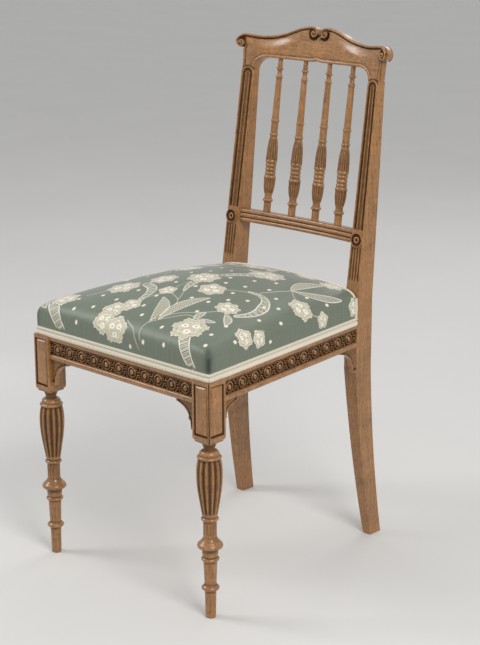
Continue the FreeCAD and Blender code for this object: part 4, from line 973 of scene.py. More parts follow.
# Dark wax and painted shade in the sunk ring inside the rosette's rim.
rosette_deep = (rosette_line[:, 1] < 2.2) & (rosette_line[:, 0] < 10.9) & (rosette_line[:, 1] > 0)
rosette_marks = {"hollow": np.broadcast_to(rosette_deep[:, None] * 0.85, rosette.shape[:2]).ravel()}
for word, side in (("left", -1), ("right", 1)):
    grid = leaned(side * ROSETTE_AWAY + rosette[..., 0], ROSETTE_UP + rosette[..., 1], 0.6 - rosette[..., 2])
    build(f"turned_rosette_{word}", [grid], wood_upright, [f"rosette_{word}"], rosette_marks)

# %% [markdown]
# The crest rail is the carver's piece. Its outline is two curves over the width, low and top, out to the
# tips of the scrolls. The front is a height field of distances to lines: a fine bead follows the top edge
# and rolls up at both ends, into a volute at the middle and a scroll at the tip. A broad bead follows the
# lower edge. Only one half is worked out, and the other is its mirror. It could be sculpted, but
# distances keep the beads even along the curves.

# %% Crest outline
CREST_TOPS = [
    (0.0, 431.0), (2.5, 431.2), (3.6, 433.0), (4.0, 437.0), (4.4, 441.0), (5.4, 444.2), (8.0, 446.8),
    (12.0, 448.6), (17.0, 449.2), (24.0, 448.8), (34.0, 446.9), (44.5, 444.1), (57.0, 439.9), (67.0, 435.7),
    (76.0, 432.6), (86.0, 430.1), (95.0, 428.3), (105.0, 426.7), (115.0, 425.8), (124.0, 425.4),
    (134.0, 425.8), (144.0, 426.6), (152.0, 427.2), (157.5, 426.5), (162.0, 425.0), (166.0, 422.0),
    (169.0, 418.5), (170.8, 415.5), (171.1, 413.5),
]
SCROLL_UNDER = [(155.6, 406.0), (157.0, 404.2), (159.5, 402.4), (162.5, 402.1), (166.0, 403.6),
                (169.0, 406.5), (170.8, 411.0), (171.1, 413.5)]
SHOULDER = [(155.9, 340.0), (155.9, 372.0), (156.2, 380.0), (157.0, 388.0), (157.8, 393.0), (157.8, 397.0),
            (156.4, 402.0), (155.6, 406.0)]
CREST_RIM = [
    (11.3, 436.6), (11.0, 438.6), (13.3, 440.2), (16.0, 438.8), (16.8, 435.8), (15.0, 432.8), (11.5, 431.6),
    (8.0, 433.0), (5.9, 436.5), (5.6, 440.5), (7.3, 444.0), (11.0, 446.4), (16.0, 447.2), (22.0, 447.0),
    (33.0, 445.2), (43.5, 442.4), (56.0, 438.2), (66.0, 434.0), (75.0, 431.0), (85.0, 428.4), (94.0, 426.6),
    (104.0, 425.0), (114.0, 424.0), (124.0, 423.6), (134.0, 424.0), (144.0, 424.8), (152.0, 425.4),
    (158.0, 424.6), (164.5, 421.4), (168.6, 416.4), (169.3, 411.5), (167.4, 406.9), (163.0, 404.0),
    (159.0, 405.0), (156.8, 408.6), (157.4, 412.6), (160.6, 414.9), (163.8, 412.9), (163.4, 409.8),
    (161.4, 409.4),
]
CREST_TIP = CREST_TOPS[-1][0]
CREST_UNDER = 388.2
ARCH_START = 104.0
ARCH_END = 130.9
SCROLL_FROM = 155.6
SCROLL_CENTRE = (162.6, 413.0)
CREST_BOW = (560.0, 21.0)
CREST_THICK = 16.0
crest_tops = softened(CREST_TOPS, 2)
scroll_under = softened(SCROLL_UNDER, 2)
arch_turn = np.linspace(np.pi / 2, 0.0, 24)
arch = np.stack([ARCH_START + (ARCH_END - ARCH_START) * np.cos(arch_turn),
                 CREST_JOINT + (CREST_UNDER - CREST_JOINT) * np.sin(arch_turn)], axis=1)
crest_under = np.concatenate([[(0, 391.4), (2, 390.6), (5, 389.4), (10, 388.4), (17, CREST_UNDER)], arch,
                              [(ARCH_END, 330.0)]])


def crest_low(away):
    """The crest's underside: a small cusp, a flat, an elliptic arch down to the stile, and the scroll's."""
    rail = np.interp(away, crest_under[:-1, 0], crest_under[:-1, 1])
    return np.where(away > SCROLL_FROM, np.interp(away, scroll_under[:, 0], scroll_under[:, 1]), rail)


print("crest outline:", len(crest_tops) + len(scroll_under) + len(crest_under), "points")

# %% Crest carving
LOW_BEAD = 2.9
LOW_GROOVE = 6.5
SIDE_BEAD = 1.6
SIDE_GROOVE = 3.9
RIM_GROOVE = 3.4
VOLUTE = (12.2, 436.6)
HOOD = (143.4, CHANNEL_HIGH - 10.1, 13.9)


def ditch(distance, centre, wide):
    """A soft groove of depth 1 at a distance from a line: exp(-((d - centre) / wide)^2)."""
    return np.exp(-((distance - centre) / wide) ** 2)


def crest_relief(away, up):
    """How far the crest's front stands out of its face, and its dark wax and painted shade."""
    from_rim = along_line(away, up, softened(CREST_RIM, 2))[0]
    from_low = along_line(away, up, crest_under)[0]
    from_side = along_line(away, up, softened(SHOULDER, 1))[0]
    on_scroll = smooth(151.0, 156.0, away) * smooth(401.0, 404.0, up)
    from_edges = np.minimum(from_rim - 4.0, from_side - 4.0)
    cove = 3.4 * (1 - smooth(0.0, 17.0, from_edges)) * (0.15 + 0.85 * smooth(40.0, 95.0, away))
    bead = 1.6 * bump(from_low, LOW_BEAD, LOW_BEAD)
    bead_groove = 0.8 * ditch(from_low, LOW_GROOVE, 0.9)
    side_bead = 1.2 * bump(from_side, SIDE_BEAD, SIDE_BEAD) * (up < 405.0)
    side_groove = 1.5 * ditch(from_side, SIDE_GROOVE, 0.8) * (1 - on_scroll)
    groove = 1.7 * ditch(from_rim, RIM_GROOVE, 0.8)
    height = bead + side_bead - np.maximum(cove, 0.0) * smooth(3.0, 8.0, from_low) - bead_groove
    height = height - np.maximum(groove, side_groove)
    wax_and_shade = np.maximum.reduce([0.9 * ditch(from_rim, 3.5, 1.1), 0.85 * side_groove / 1.5,
                             0.35 * ditch(from_low, LOW_GROOVE, 1.1)])
    from_hood = np.hypot(away - HOOD[0], up - HOOD[1])
    hood = ditch(from_hood, HOOD[2], 0.9) * (from_side > 2.4) * (away >= ARCH_END + 1.0)
    height = height - 1.2 * hood
    wax_and_shade = np.maximum(wax_and_shade, 0.85 * hood)
    rho = np.hypot(away - VOLUTE[0], up - VOLUTE[1])
    turn = np.arctan2(up - VOLUTE[1], away - VOLUTE[0])
    window = np.where(turn > 2.5, 1.0, 1 - smooth(0.35, 0.95, turn))
    pocket = np.maximum(window * (1 - smooth(10.9, 12.3, rho)), on_scroll)
    floor_depth = np.where(away > 100.0, -2.6, -4.6)
    height = height * (1 - pocket) + floor_depth * pocket + 0.9 * window * ditch(rho, 13.3, 0.9)
    ridge = bump(from_rim, 0.0, 2.0)
    # Dark wax and painted shade: the pockets under the volutes and scrolls are darkened, the rim's top kept
    # clear.
    wax_and_shade = np.maximum(wax_and_shade, 0.95 * pocket) * (1 - smooth(0.25, 0.75, ridge))
    height = np.where(ridge > 0, np.maximum(height, -1.4 + 2.9 * ridge), height)
    return height, np.clip(wax_and_shade, 0, 1)


volute_eye = crest_relief(np.full((1, 1), VOLUTE[0]), np.full((1, 1), VOLUTE[1]))[0].item()
print("crest relief at the volute's eye:", round(volute_eye, 2), "mm")

# %% Crest columns
def crest_columns():
    """Distances from the middle at which the crest has a column, closer where it is carved finely."""
    turn = np.linspace(0.0, np.pi / 2, 46)
    return np.concatenate([
        np.linspace(0.0, 27.0, 74)[:-1], np.linspace(27.0, ARCH_START, 92)[:-1],
        ARCH_START + (ARCH_END - ARCH_START) * np.sin(np.linspace(0, np.pi / 2, 34)),
        np.linspace(ARCH_END, SCROLL_FROM - 0.01, 34)[1:],
        SCROLL_FROM + 0.35 + (CREST_TIP - SCROLL_FROM - 0.35) * np.sin(turn)])


def towards_scroll(away, up, drawn):
    """Points of the scroll's barrel drawn in towards its axis by a distance."""
    place = np.stack([away - SCROLL_CENTRE[0], up - SCROLL_CENTRE[1]])
    reach = np.maximum(np.hypot(*place), 0.01)
    place = place * (1 - np.minimum(drawn / reach, 1.0) * (reach > 1.0))
    return place[0] + SCROLL_CENTRE[0], place[1] + SCROLL_CENTRE[1]


def crest_half():
    """Half the crest as columns: each runs up the front, over the top, down the back and under."""
    away = crest_columns()[:, None]
    low = crest_low(away)
    top = np.interp(away, crest_tops[:, 0], crest_tops[:, 1])
    share = np.linspace(0.0, 1.0, 112)[None, :]
    share = np.where(away > SCROLL_FROM, np.clip((share - 0.65) / 0.35, 0.0, 1.0), share)
    up = low + (top - low) * share
    table = np.array(SHOULDER)
    shoulder = (np.interp(up, table[:, 1], table[:, 0]) - SCROLL_FROM) * (up < 406.0)
    placed = away + shoulder * smooth(136.0, SCROLL_FROM, away) * (away < SCROLL_FROM)
    height, wax_and_shade = crest_relief(placed, up)
    eased = 0.9 * np.exp(-(top - up) / 0.6) + 0.9 * np.exp(-(up - low) / 0.6)
    front = bow(away, *CREST_BOW) - height + eased
    back = bow(away) + CREST_THICK + 3.0 * smooth(150.0, 158.0, away)
    depth = np.array([0.05, 0.11, 0.16, 0.20, 0.24, 0.30, 0.42, 0.58, 0.74, 0.88, 0.97])[None, :]
    barrel = 1.8 * ditch(depth, 0.19, 0.06) + 1.4 * smooth(0.80, 1.0, depth)
    barrel = barrel * smooth(150.0, 157.0, away)
    over = towards_scroll(placed[:, -1:], up[:, -1:], barrel)
    over = leaned(over[0], over[1], front[:, -1:] * (1 - depth) + back * depth)
    down = np.linspace(1.0, 0.0, 12)[None, :]
    behind_up = low + (top - low) * down
    behind = leaned(away, behind_up, back)
    under = towards_scroll(placed[:, :1], up[:, :1], barrel * (away > SCROLL_FROM))
    under = leaned(under[0], under[1], front[:, :1] * (1 - depth) + back * depth)[:, ::-1]
    face = leaned(placed, up, front)
    # Dark wax and painted shade in the groove between the scroll's face and its barrel.
    edge_wax_and_shade = 0.9 * ditch(depth, 0.19, 0.07) * smooth(152.0, 157.0, away)
    plain = np.zeros((len(away), down.size))
    marks = np.concatenate([wax_and_shade, edge_wax_and_shade, plain, edge_wax_and_shade[:, ::-1], wax_and_shade[:, :1]], axis=1)
    return np.concatenate([face, over, behind, under, face[:, :1]], axis=1), marks


print("crest columns:", len(crest_columns()))

# %% Crest rail
half_crest, half_hollow = crest_half()
crest = np.concatenate([half_crest[:0:-1] * [-1, 1, 1], half_crest])
crest_hollow = np.concatenate([half_hollow[:0:-1], half_hollow])
build("carved_crest", [crest], wood_across, ["crest_rail"], {"hollow": crest_hollow.ravel()},
      crease=50.0)

# %% [markdown]
# The seat is stuffed over the rails and covered in one piece of silk. Its surface is a height over the
# plan: a wall that rises at the edges and rounds over, and a crown. At the back the cover is cut in round
# the posts. The weave is drawn in the cloth's own measure: u and v count the run over the surface from
# its middle. A cloth simulation is another way to make it. A formula was chosen, because its sizes can be
# set from the photograph.

# %% Seat surface
SEAT_FRONT = -14.55
SEAT_BACK = 414.8
COVER_IN = 1.2
COVER_LOW = 399.0
WALL_LOW = 408.0
WALL_RISE = 51.0
CROWN_RISE = 36.0
NOTCH_REACH = 132.5
NOTCH_FROM = 388.5
CORNER_ROUND = 6.0
BULGE = 1.3
BULGE_TALL = 46.0
GATHER = 0.45
EDGE_REACH = 9.0
DENT = 1.2


def seat_height(a, b):
    """z = low + rise w (1 - 0.14 |ab|^10) + crown (1 - |a|^1.95)(1 - |b|^1.9). A wall is
    s(t) = (1 - |t|^7)^(1/6), and w is the soft least of the two, ((s(a)^-8 + s(b)^-8) / 2)^(-1/8)."""
    walls = [np.clip(1 - np.abs(t) ** 7, 1e-30, 1.0) ** (1 / 6) for t in (a, b)]
    least = ((walls[0] ** -8 + walls[1] ** -8) / 2) ** (-1 / 8)
    crown = (1 - np.abs(a) ** 1.95) * (1 - np.abs(b) ** 1.9)
    least = least * (1 - 0.14 * np.abs(a * b) ** 10)
    return WALL_LOW + WALL_RISE * least + CROWN_RISE * crown


def to_edges(count):
    """Even steps from -1 to 1 drawn closer together towards both ends."""
    t = np.linspace(-1.0, 1.0, count)
    return np.sign(t) * (1 - (1 - np.abs(t)) ** 2.2)


print("crown of the seat:", float(seat_height(0.0, 0.0)), "mm over the floor")

# %% Cover drawn over
def pleats(from_side, from_front):
    """The folds at the front corners: 1 on a corner's line, fading to its sides and up over the edge."""
    off = from_side - from_front
    fold = np.exp(-(off / 7.0) ** 2) + 0.6 * np.exp(-(off / 17.0) ** 2)
    return fold / 1.6 * np.exp(-((from_side + from_front) / 19.0) ** 2)


def puckers(run):
    """Small uneven gathers along the tacked edge, as two sines whose phases wander."""
    broad = np.sin(run * 2 * np.pi / 19.0 + 2.0 * np.sin(run * 2 * np.pi / 67.0))
    fine = np.sin(run * 2 * np.pi / 11.0 + 1.7 * np.sin(run * 2 * np.pi / 43.0))
    return 0.6 * broad + 0.4 * fine


def drawn_over(free, height):
    """The cover as it is pulled down: walls that bulge, gathers on them, rounded and folded corners."""
    across = free[..., 0]
    along = free[..., 1]
    side = np.sign(across)
    from_side = side_face(along) - COVER_IN - np.abs(across)
    from_front = along - SEAT_FRONT
    pleat = pleats(from_side, from_front)
    corner = np.maximum(CORNER_ROUND - np.stack([from_side, from_front]), 0.0)
    kept = corner.max(axis=0) / np.maximum(np.hypot(*corner), 1e-6)
    inward = np.where(corner.min(axis=0) > 0, corner * (1 - kept), 0.0)
    bulge = np.sin(np.pi * np.clip((height - WALL_LOW - 1) / BULGE_TALL, 0.0, 1.0))
    near_side = ditch(from_side, 0.0, EDGE_REACH)
    near_front = ditch(from_front, 0.0, EDGE_REACH)
    near_back = ditch(SEAT_BACK - along, 0.0, EDGE_REACH)
    out_side = bulge * near_side * (BULGE + GATHER * puckers(along))
    out_front = bulge * near_front * (BULGE + GATHER * puckers(across + 7.0))
    dent = DENT * pleat * bulge
    wave = 0.5 * np.sin(across / 19.0 + 0.6 * np.sin(along / 41.0))
    wave = wave * np.sin(along / 27.0 + 0.7 * np.sin(across / 33.0))
    wave = wave * (1 - near_side) * (1 - near_front) * (1 - near_back)
    sideways = across + side * (out_side - inward[0] - dent)
    return spread(sideways, along - out_front + inward[1] + dent, height + wave), pleat


print("gathers reach", round(float(GATHER * np.abs(puckers(np.arange(400.0))).max()), 2), "mm")

# %% Cover and skirt
def surface_run(points, axis):
    """The run over a surface along one axis of its grid: the sum of its steps from the first point."""
    steps = np.linalg.norm(np.diff(points, axis=axis), axis=-1)
    return np.insert(np.cumsum(steps, axis=axis), 0, 0.0, axis=axis)


def seat_grid():
    """The cover's points, rows front to back, the cloth's own u and v at each, and the folds' painted shade.
    """
    a = to_edges(431)[None, :]
    b = to_edges(451)
    notch = (NOTCH_FROM - SEAT_FRONT) / (SEAT_BACK - SEAT_FRONT) * 2 - 1
    b = np.sort(np.concatenate([b, [notch - 1e-4, notch + 1e-4]]))[:, None]
    along = SEAT_FRONT + (b + 1) / 2 * (SEAT_BACK - SEAT_FRONT)
    across = a * (side_face(along) - COVER_IN)
    height = seat_height(a, b)
    free = spread(across, along, height)
    u = surface_run(free, 1)
    v = surface_run(free, 0)
    u = u - u[:, a.size // 2][:, None]
    v = v - v[np.argmin(np.abs(b[:, 0]))][None, :]
    free, pleat = drawn_over(free, height)
    across = free[..., 0]
    free[..., 0] = np.where(along > NOTCH_FROM, np.clip(across, -NOTCH_REACH, NOTCH_REACH), across)
    return free, u, v, pleat


def rim_of(grid):
    """The closed loop of points round a grid's edge."""
    return np.concatenate([grid[0], grid[1:, -1], grid[-1, -2::-1], grid[-2::-1, 0]])


def skirt_under(grid):
    """The cover below its wall: down over the ledge, turned in, and closed under the stuffing."""
    rim = rim_of(grid)
    middle = np.array([0.0, (SEAT_FRONT + SEAT_BACK) / 2, 0.0])
    flat = (rim - middle) * [1, 1, 0]
    inner = flat * (1 - 2.2 / np.linalg.norm(flat, axis=1, keepdims=True)) + middle
    outer = rim * [1, 1, 0]
    under = RAIL_TOP + 3.4
    levels = [(outer, WALL_LOW), (outer, COVER_LOW), (inner, COVER_LOW), (inner, under),
              (inner * 0.0 + middle, under)]
    return np.stack([plan + [0, 0, level] for plan, level in levels])


cover, cloth_u, cloth_v, fold_shade = seat_grid()
skirt = skirt_under(cover)
print("seat grid", cover.shape, "cloth", round(np.ptp(cloth_u)), "by", round(np.ptp(cloth_v)), "mm")

# %% [markdown]
# The brocade is drawn with distances. Each motif gives, at every point of the cloth, how far inside its
# figure the point is, and how far inside its pale lines; the greatest of each is kept as a mark. The
# finish is hatched where the figure is above zero, and ivory where the pale lines are. A flower is its
# middle, its size, its petals and its turn; a leaf is its two ends, its width and its bend; a ribbon is a
# line and its half widths. A printed picture could carry the pattern, but drawn motifs need no file.

# %% Brocade motifs
OUTSIDE = -9.0
FLOWERS = [
    (127, -180, 33, 7, 0.3), (-20, -168, 20, 5, 0.0), (-38, -190, 23, 5, 0.5), (-38, -217, 24, 5, 0.2),
    (-7, -226, 26, 5, 0.9), (123, -88, 22, 8, 0.1), (55, -55, 25, 6, 0.0), (4, -22, 30, 7, 0.4),
    (-2, -101, 17, 5, 0.3), (-53, -60, 26, 7, 0.2), (-93, -115, 30, 7, 0.6), (-162, -184, 25, 6, 0.1),
    (50, 84, 33, 7, 0.5), (-80, 25, 29, 7, 0.0), (-75, 76, 20, 6, 0.4), (-20, 130, 28, 7, 0.3),
    (172, 40, 24, 6, 0.2), (198, -122, 19, 6, 0.1), (206, -88, 16, 5, 0.4), (197, 86, 16, 5, 0.6),
    (-150, -60, 24, 6, 0.5), (-195, -120, 18, 5, 0.2), (-165, 30, 28, 7, 0.1), (-140, 120, 26, 7, 0.7),
    (-205, 90, 18, 5, 0.3), (-70, 170, 24, 6, 0.2), (60, 175, 22, 6, 0.4), (120, 170, 22, 7, 0.1),
    (0, 205, 20, 5, 0.0), (-150, 195, 20, 6, 0.4), (180, 180, 18, 5, 0.5), (-215, -30, 18, 5, 0.5),
    (-220, 160, 16, 5, 0.1),
]
LEAVES = [
    (62, -186, 80, -82, 22, 0.10), (51, -194, 12, -124, 22, -0.12), (122, 64, 119, 160, 22, 0.10),
    (124, 66, 167, 149, 20, -0.10), (134, -104, 163, -136, 14, 0.1), (113, -156, 110, -124, 13, 0.05),
    (116, -153, 147, -140, 12, -0.05), (30, 115, 5, 165, 18, 0.1), (-100, 45, -130, 80, 18, 0.12),
    (-45, 100, -100, 125, 18, -0.1), (-165, 60, -190, 20, 18, 0.1), (-150, 150, -110, 175, 18, 0.1),
    (-175, -90, -205, -70, 14, 0.1), (90, 190, 40, 205, 14, 0.1), (-180, -215, -205, -185, 14, 0.1),
]
RIBBONS = [
    ([(100, -12), (120, -3), (140, -13), (155, -40), (159, -70), (150, -97)], (2.5, 9.0, 3.0)),
    ([(-58, -94), (-35, -103), (-22, -121), (-18, -150)], (7.0, 8.0, 4.0)),
    ([(20, 10), (30, 36), (42, 56)], (6.0, 7.0, 7.0)),
    ([(10, -50), (14, -70), (22, -86)], (7.0, 5.0, 2.0)),
    ([(135, -198), (147, -214), (162, -238), (182, -268)], (9.5, 9.0, 6.5)),
    ([(-172, -200), (-157, -219), (-142, -242), (-126, -270)], (10.5, 9.5, 6.0)),
    ([(-120, -20), (-125, 10), (-112, 30)], (7.0, 7.0, 7.0)),
    ([(-50, 150), (-70, 140), (-95, 150), (-110, 175)], (7.0, 7.0, 7.0)),
]
STEMS = [
    [(50, -200), (56, -192), (80, -165), (93, -148), (112, -150)],
    [(50, -196), (58, -180), (78, -150), (104, -134), (122, -108)], [(22, -86), (34, -104), (41, -120)],
    [(8, -106), (26, -111), (41, -120)], [(41, -120), (48, -128), (50, -138)],
    [(55, -78), (70, -40), (100, -14)], [(0, -83), (2, -55)],
    [(10, -206), (20, -212), (33, -217), (43, -235), (53, -252)], [(50, -200), (46, -216), (52, -232)],
    [(0, -111), (-8, -128), (-20, -150)], [(-75, -100), (-60, -80)], [(-60, 40), (-30, 60), (20, 80)],
    [(-20, 100), (-35, 80), (-60, 76)], [(110, 2), (118, 40), (124, 66)],
    [(124, 66), (140, 52), (154, 46)], [(196, -72), (192, -84), (198, -100), (206, -104)],
    [(-130, -165), (-110, -140)], [(-165, 0), (-155, -35)], [(-95, 0), (-75, -38)],
    [(-140, 95), (-150, 60)], [(190, 72), (186, 58)],
]
DOTS = [
    (5, -163), (-60, -163), (-98, -158), (-134, -180), (-83, -195), (-117, -208), (25, -187), (97, -132),
    (87, -96), (103, -66), (88, -40), (122, -40), (137, 13), (107, 28), (68, 33), (80, -2), (37, 7),
    (25, -63), (-17, -67), (-52, -120), (-2, -127), (55, -102), (51, -18), (162, -7), (190, -26),
    (175, -67), (165, -135), (170, -174), (185, -203), (83, -199), (106, -227), (60, -233), (-100, -230),
    (30, -247), (90, 63), (172, 105), (150, 75), (200, -147), (12, 85), (15, 125), (-20, 18), (-40, -8),
    (3, 45), (-30, 55), (-110, -45), (-130, -75), (-95, 100), (-190, 60), (-60, 205), (100, 205),
    (30, 160), (-190, -5), (-180, -150), (-130, 160), (-200, 190), (215, -60), (150, -30), (-120, 55),
    (-30, 95), (150, 200), (-110, 205),
]
print("motifs:", len(FLOWERS), "flowers,", len(LEAVES), "leaves,", len(RIBBONS), "ribbons,", len(DOTS),
      "dots")

# %% Brocade by distances
def flower(u, v, across, along, size, petals, turn):
    """A flower as (figure, light): how far inside its serrated edge, and how far inside its pale lines."""
    right = u - across
    up = v - along
    rho = np.hypot(right, up)
    angle = np.arctan2(up, right) + turn
    lobes = 0.09 * np.cos(petals * angle)
    teeth = 0.04 * np.cos((3 * petals + 2) * angle + 5 * turn)
    reach = size * (0.90 + lobes + teeth)
    inside = reach - rho
    fold = np.abs(np.cos(angle * petals / 2)) * rho * 2 / petals
    fold = np.where((rho > 0.55 * size) & (rho < 0.84 * reach), fold - 0.6, 9.0)
    light = np.maximum(0.6 - np.abs(inside - 1.4), 0.7 - np.abs(rho - 0.58 * reach))
    for eye in range(3):
        eye_turn = 2.1 * eye + 3 * turn
        eye_right = (right - 0.33 * size * np.cos(eye_turn)) / 1.25
        away = np.hypot(eye_right, up - 0.33 * size * np.sin(eye_turn))
        light = np.maximum(light, 0.17 * size - away)
        fold = np.minimum(fold, away - 0.05 * size)
    return np.minimum(inside, fold), np.minimum(light, fold)


def leaf(u, v, start_u, start_v, end_u, end_v, wide, bend):
    """A leaf as (figure, light): a bent spine, half as wide as sin, barred across, with a pale edge."""
    run = np.hypot(end_u - start_u, end_v - start_v)
    way_u = (end_u - start_u) / run
    way_v = (end_v - start_v) / run
    t = ((u - start_u) * way_u + (v - start_v) * way_v) / run
    off = -(u - start_u) * way_v + (v - start_v) * way_u - bend * run * 4 * t * (1 - t)
    inside = wide / 2 * np.sin(np.pi * np.clip(t, 0, 1)) ** 0.8 - np.abs(off)
    slant = (t * run - off * 0.9) % 4.6
    bars = 1.35 - np.abs(slant - 2.3)
    on = (t > 0) & (t < 1)
    edge = 0.75 - np.abs(inside - 0.5)
    return np.where(on, np.minimum(inside, bars), OUTSIDE), np.where(on, edge, OUTSIDE)


def ribbon(u, v, line, halves):
    """A ribbon as (figure, light): broad bars across with thin ones between them, and a pale line along each
    edge. halves are half its width at its start, middle and end."""
    line = softened(line, 2)
    run = np.hypot(*np.diff(line, axis=0).T).sum()
    distance, place = along_line(u, v, line)
    half = np.interp(place / run, (0.0, 0.5, 1.0), halves)
    bar = np.abs(place % 12.0 - 6.0)
    within = half - 0.8 - distance
    thin = np.minimum(within, 0.5 - np.abs(bar - 4.6))
    return np.minimum(within, 2.3 - bar), np.maximum(0.9 - np.abs(distance - half), thin)


def brocade(u, v):
    """The brocade's figure and its pale lines: the greatest of all motifs' inside distances, in
    millimetres. The flowers are laid over what they cross."""
    figure = np.full(u.shape, OUTSIDE)
    light = np.full(u.shape, OUTSIDE)
    for line in STEMS:
        figure = np.maximum(figure, 0.9 - along_line(u, v, softened(line, 2))[0])
    for line, halves in RIBBONS:
        inside, lines = ribbon(u, v, line, halves)
        figure = np.maximum(figure, inside)
        light = np.maximum(light, lines)
    for motif in LEAVES:
        inside, lines = leaf(u, v, *motif)
        figure = np.maximum(figure, inside)
        light = np.maximum(light, lines)
    for dot_u, dot_v in DOTS:
        oval = 1 - np.hypot((u - dot_u) / 3.4, (v - dot_v) / 4.4)
        figure = np.maximum(figure, 3.6 * oval)
        light = np.maximum(light, 3.6 * (oval - 0.35))
    for motif in FLOWERS:
        inside, lines = flower(u, v, *motif)
        over = inside > -1.0
        figure = np.where(over, inside, figure)
        light = np.where(over, lines, light)
    return figure, light


figure, light = brocade(cloth_u, cloth_v)
print("brocade: figure on", round(float((figure > 0).mean() * 100)), "% of the cloth")

# %% Silk brocade
# Silk threads are too fine to show, so the hatching is drawn 2.2 mm apart and the ribs 0.7 mm apart.
HATCH = 0.20
RIBS = 0.45


def silk_brocade():
    """A sage satin ground with an ivory figure; both show fine ribs of the weave along the cloth's u, v."""
    finish, tree, output = new_finish("silk_brocade")
    cloth = add(tree, "ShaderNodeAttribute", attribute_name="cloth").outputs["Vector"]
    drawn = add(tree, "ShaderNodeAttribute", attribute_name="figure").outputs["Fac"]
    lines = add(tree, "ShaderNodeAttribute", attribute_name="light").outputs["Fac"]
    woven_in = add(tree, "ShaderNodeMapRange", {0: drawn, 1: -0.35, 2: 0.35}).outputs[0]
    pale = add(tree, "ShaderNodeMapRange", {0: lines, 1: -0.35, 2: 0.35}).outputs[0]
    ivory = add(tree, "ShaderNodeMath", {0: woven_in, 1: pale}, operation="MAXIMUM").outputs[0]
    twill = add(tree, "ShaderNodeTexWave", {"Vector": cloth, "Scale": HATCH, "Distortion": 0.4},
                bands_direction="DIAGONAL").outputs["Fac"]
    u_place = add(tree, "ShaderNodeMapping", {"Vector": cloth, "Scale": (1.0, 0.02, 1.0)}).outputs[0]
    warp = add(tree, "ShaderNodeTexNoise", {"Vector": u_place, "Scale": 0.9, "Detail": 3.0}).outputs["Fac"]
    cloud = add(tree, "ShaderNodeTexNoise", {"Vector": cloth, "Scale": 0.02, "Detail": 2.0}).outputs["Fac"]
    tones = [(warp, "#5c6556", "#727b6a"), (twill, "#aea892", "#cfc8b2"), (cloud, "#e6dfcb", "#f1ebdb")]
    ground, hatched, ivories = [
        add(tree, "ShaderNodeMix", {0: share, 6: paint(one), 7: paint(other)}, data_type="RGBA").outputs[2]
        for share, one, other in tones]
    figured = add(tree, "ShaderNodeMix", {0: woven_in, 6: ground, 7: hatched}, data_type="RGBA").outputs[2]
    drawn_on = add(tree, "ShaderNodeMix", {0: pale, 6: figured, 7: ivories}, data_type="RGBA").outputs[2]
    # Painted shade: along the folds at the front corners the cloth is mixed towards near black.
    fold = add(tree, "ShaderNodeAttribute", attribute_name="fold").outputs["Fac"]
    dark = add(tree, "ShaderNodeMath", {0: fold, 1: 0.92}, operation="MULTIPLY").outputs[0]
    tint = add(tree, "ShaderNodeMix", {0: dark, 6: drawn_on, 7: paint("#20241f")},
               data_type="RGBA").outputs[2]
    ribs = add(tree, "ShaderNodeTexWave", {"Vector": cloth, "Scale": RIBS, "Distortion": 0.3},
               bands_direction="Y").outputs["Fac"]
    ground_rib = add(tree, "ShaderNodeMath", {0: ribs, 1: 0.25}, operation="MULTIPLY").outputs[0]
    raised = add(tree, "ShaderNodeMath", {0: ivory, 1: ground_rib}, operation="ADD").outputs[0]
    relief = add(tree, "ShaderNodeBump", {"Height": raised, "Strength": 0.35, "Distance": 0.0004}).outputs[0]
    dull = add(tree, "ShaderNodeMapRange", {0: ivory, 3: 0.42, 4: 0.55}).outputs[0]
    shader = add(tree, "ShaderNodeBsdfPrincipled", {"Base Color": tint, "Roughness": dull, "Normal": relief,
                                                    "Sheen Weight": 0.25, "Sheen Roughness": 0.35})
    tree.links.new(shader.outputs[0], output.inputs["Surface"])
    return finish


silk = silk_brocade()
skirt_u = np.broadcast_to(rim_of(cloth_u[..., None])[:, 0], skirt.shape[:2])
skirt_v = np.broadcast_to(rim_of(cloth_v[..., None])[:, 0], skirt.shape[:2])
u_marks = np.concatenate([cloth_u.ravel(), skirt_u.ravel()])
v_marks = np.concatenate([cloth_v.ravel(), skirt_v.ravel()])
seat_marks = {"cloth": spread(u_marks, v_marks, 0.0)}
for mark, values, below in (("figure", figure, OUTSIDE), ("light", light, OUTSIDE), ("fold", fold_shade, 0.0)):
    seat_marks[mark] = np.concatenate([values.ravel(), np.full(skirt_u.size, below)])
seat = build("silk_seat", [cover, skirt], silk, ["seat_cover", "seat_stuffing"], seat_marks,
             crease=75.0)

# %% [markdown]
# A pale braid hides the tacks along the cover's edge. It is a broad ribbed cord with a finer one above: a
# section of two round bumps carried along the edge, its height beating along the run. The strips meet on
# the rounded front corners. Beside each rear post the braid turns up and in, and a strip lies on the back
# edge. Twisted cords could be modelled thread by thread, but a beating section needs far fewer faces.

# %% Braid
GIMP_LOW = 396.8
GIMP_HIGH = 412.0
GIMP_BACK = 1.8
GIMP_FACE = -1.3
RIB_MM = 3.2
BRAID_TOP = 382.0
BRAID_ROUND = 9.0
BRAID_BACK = 416.0
RISER_TALL = 34.0
NOTCH_LONG = 28.0
CORDS = [(4.8, 4.7, 1.0), (12.3, 2.9, 0.85)]


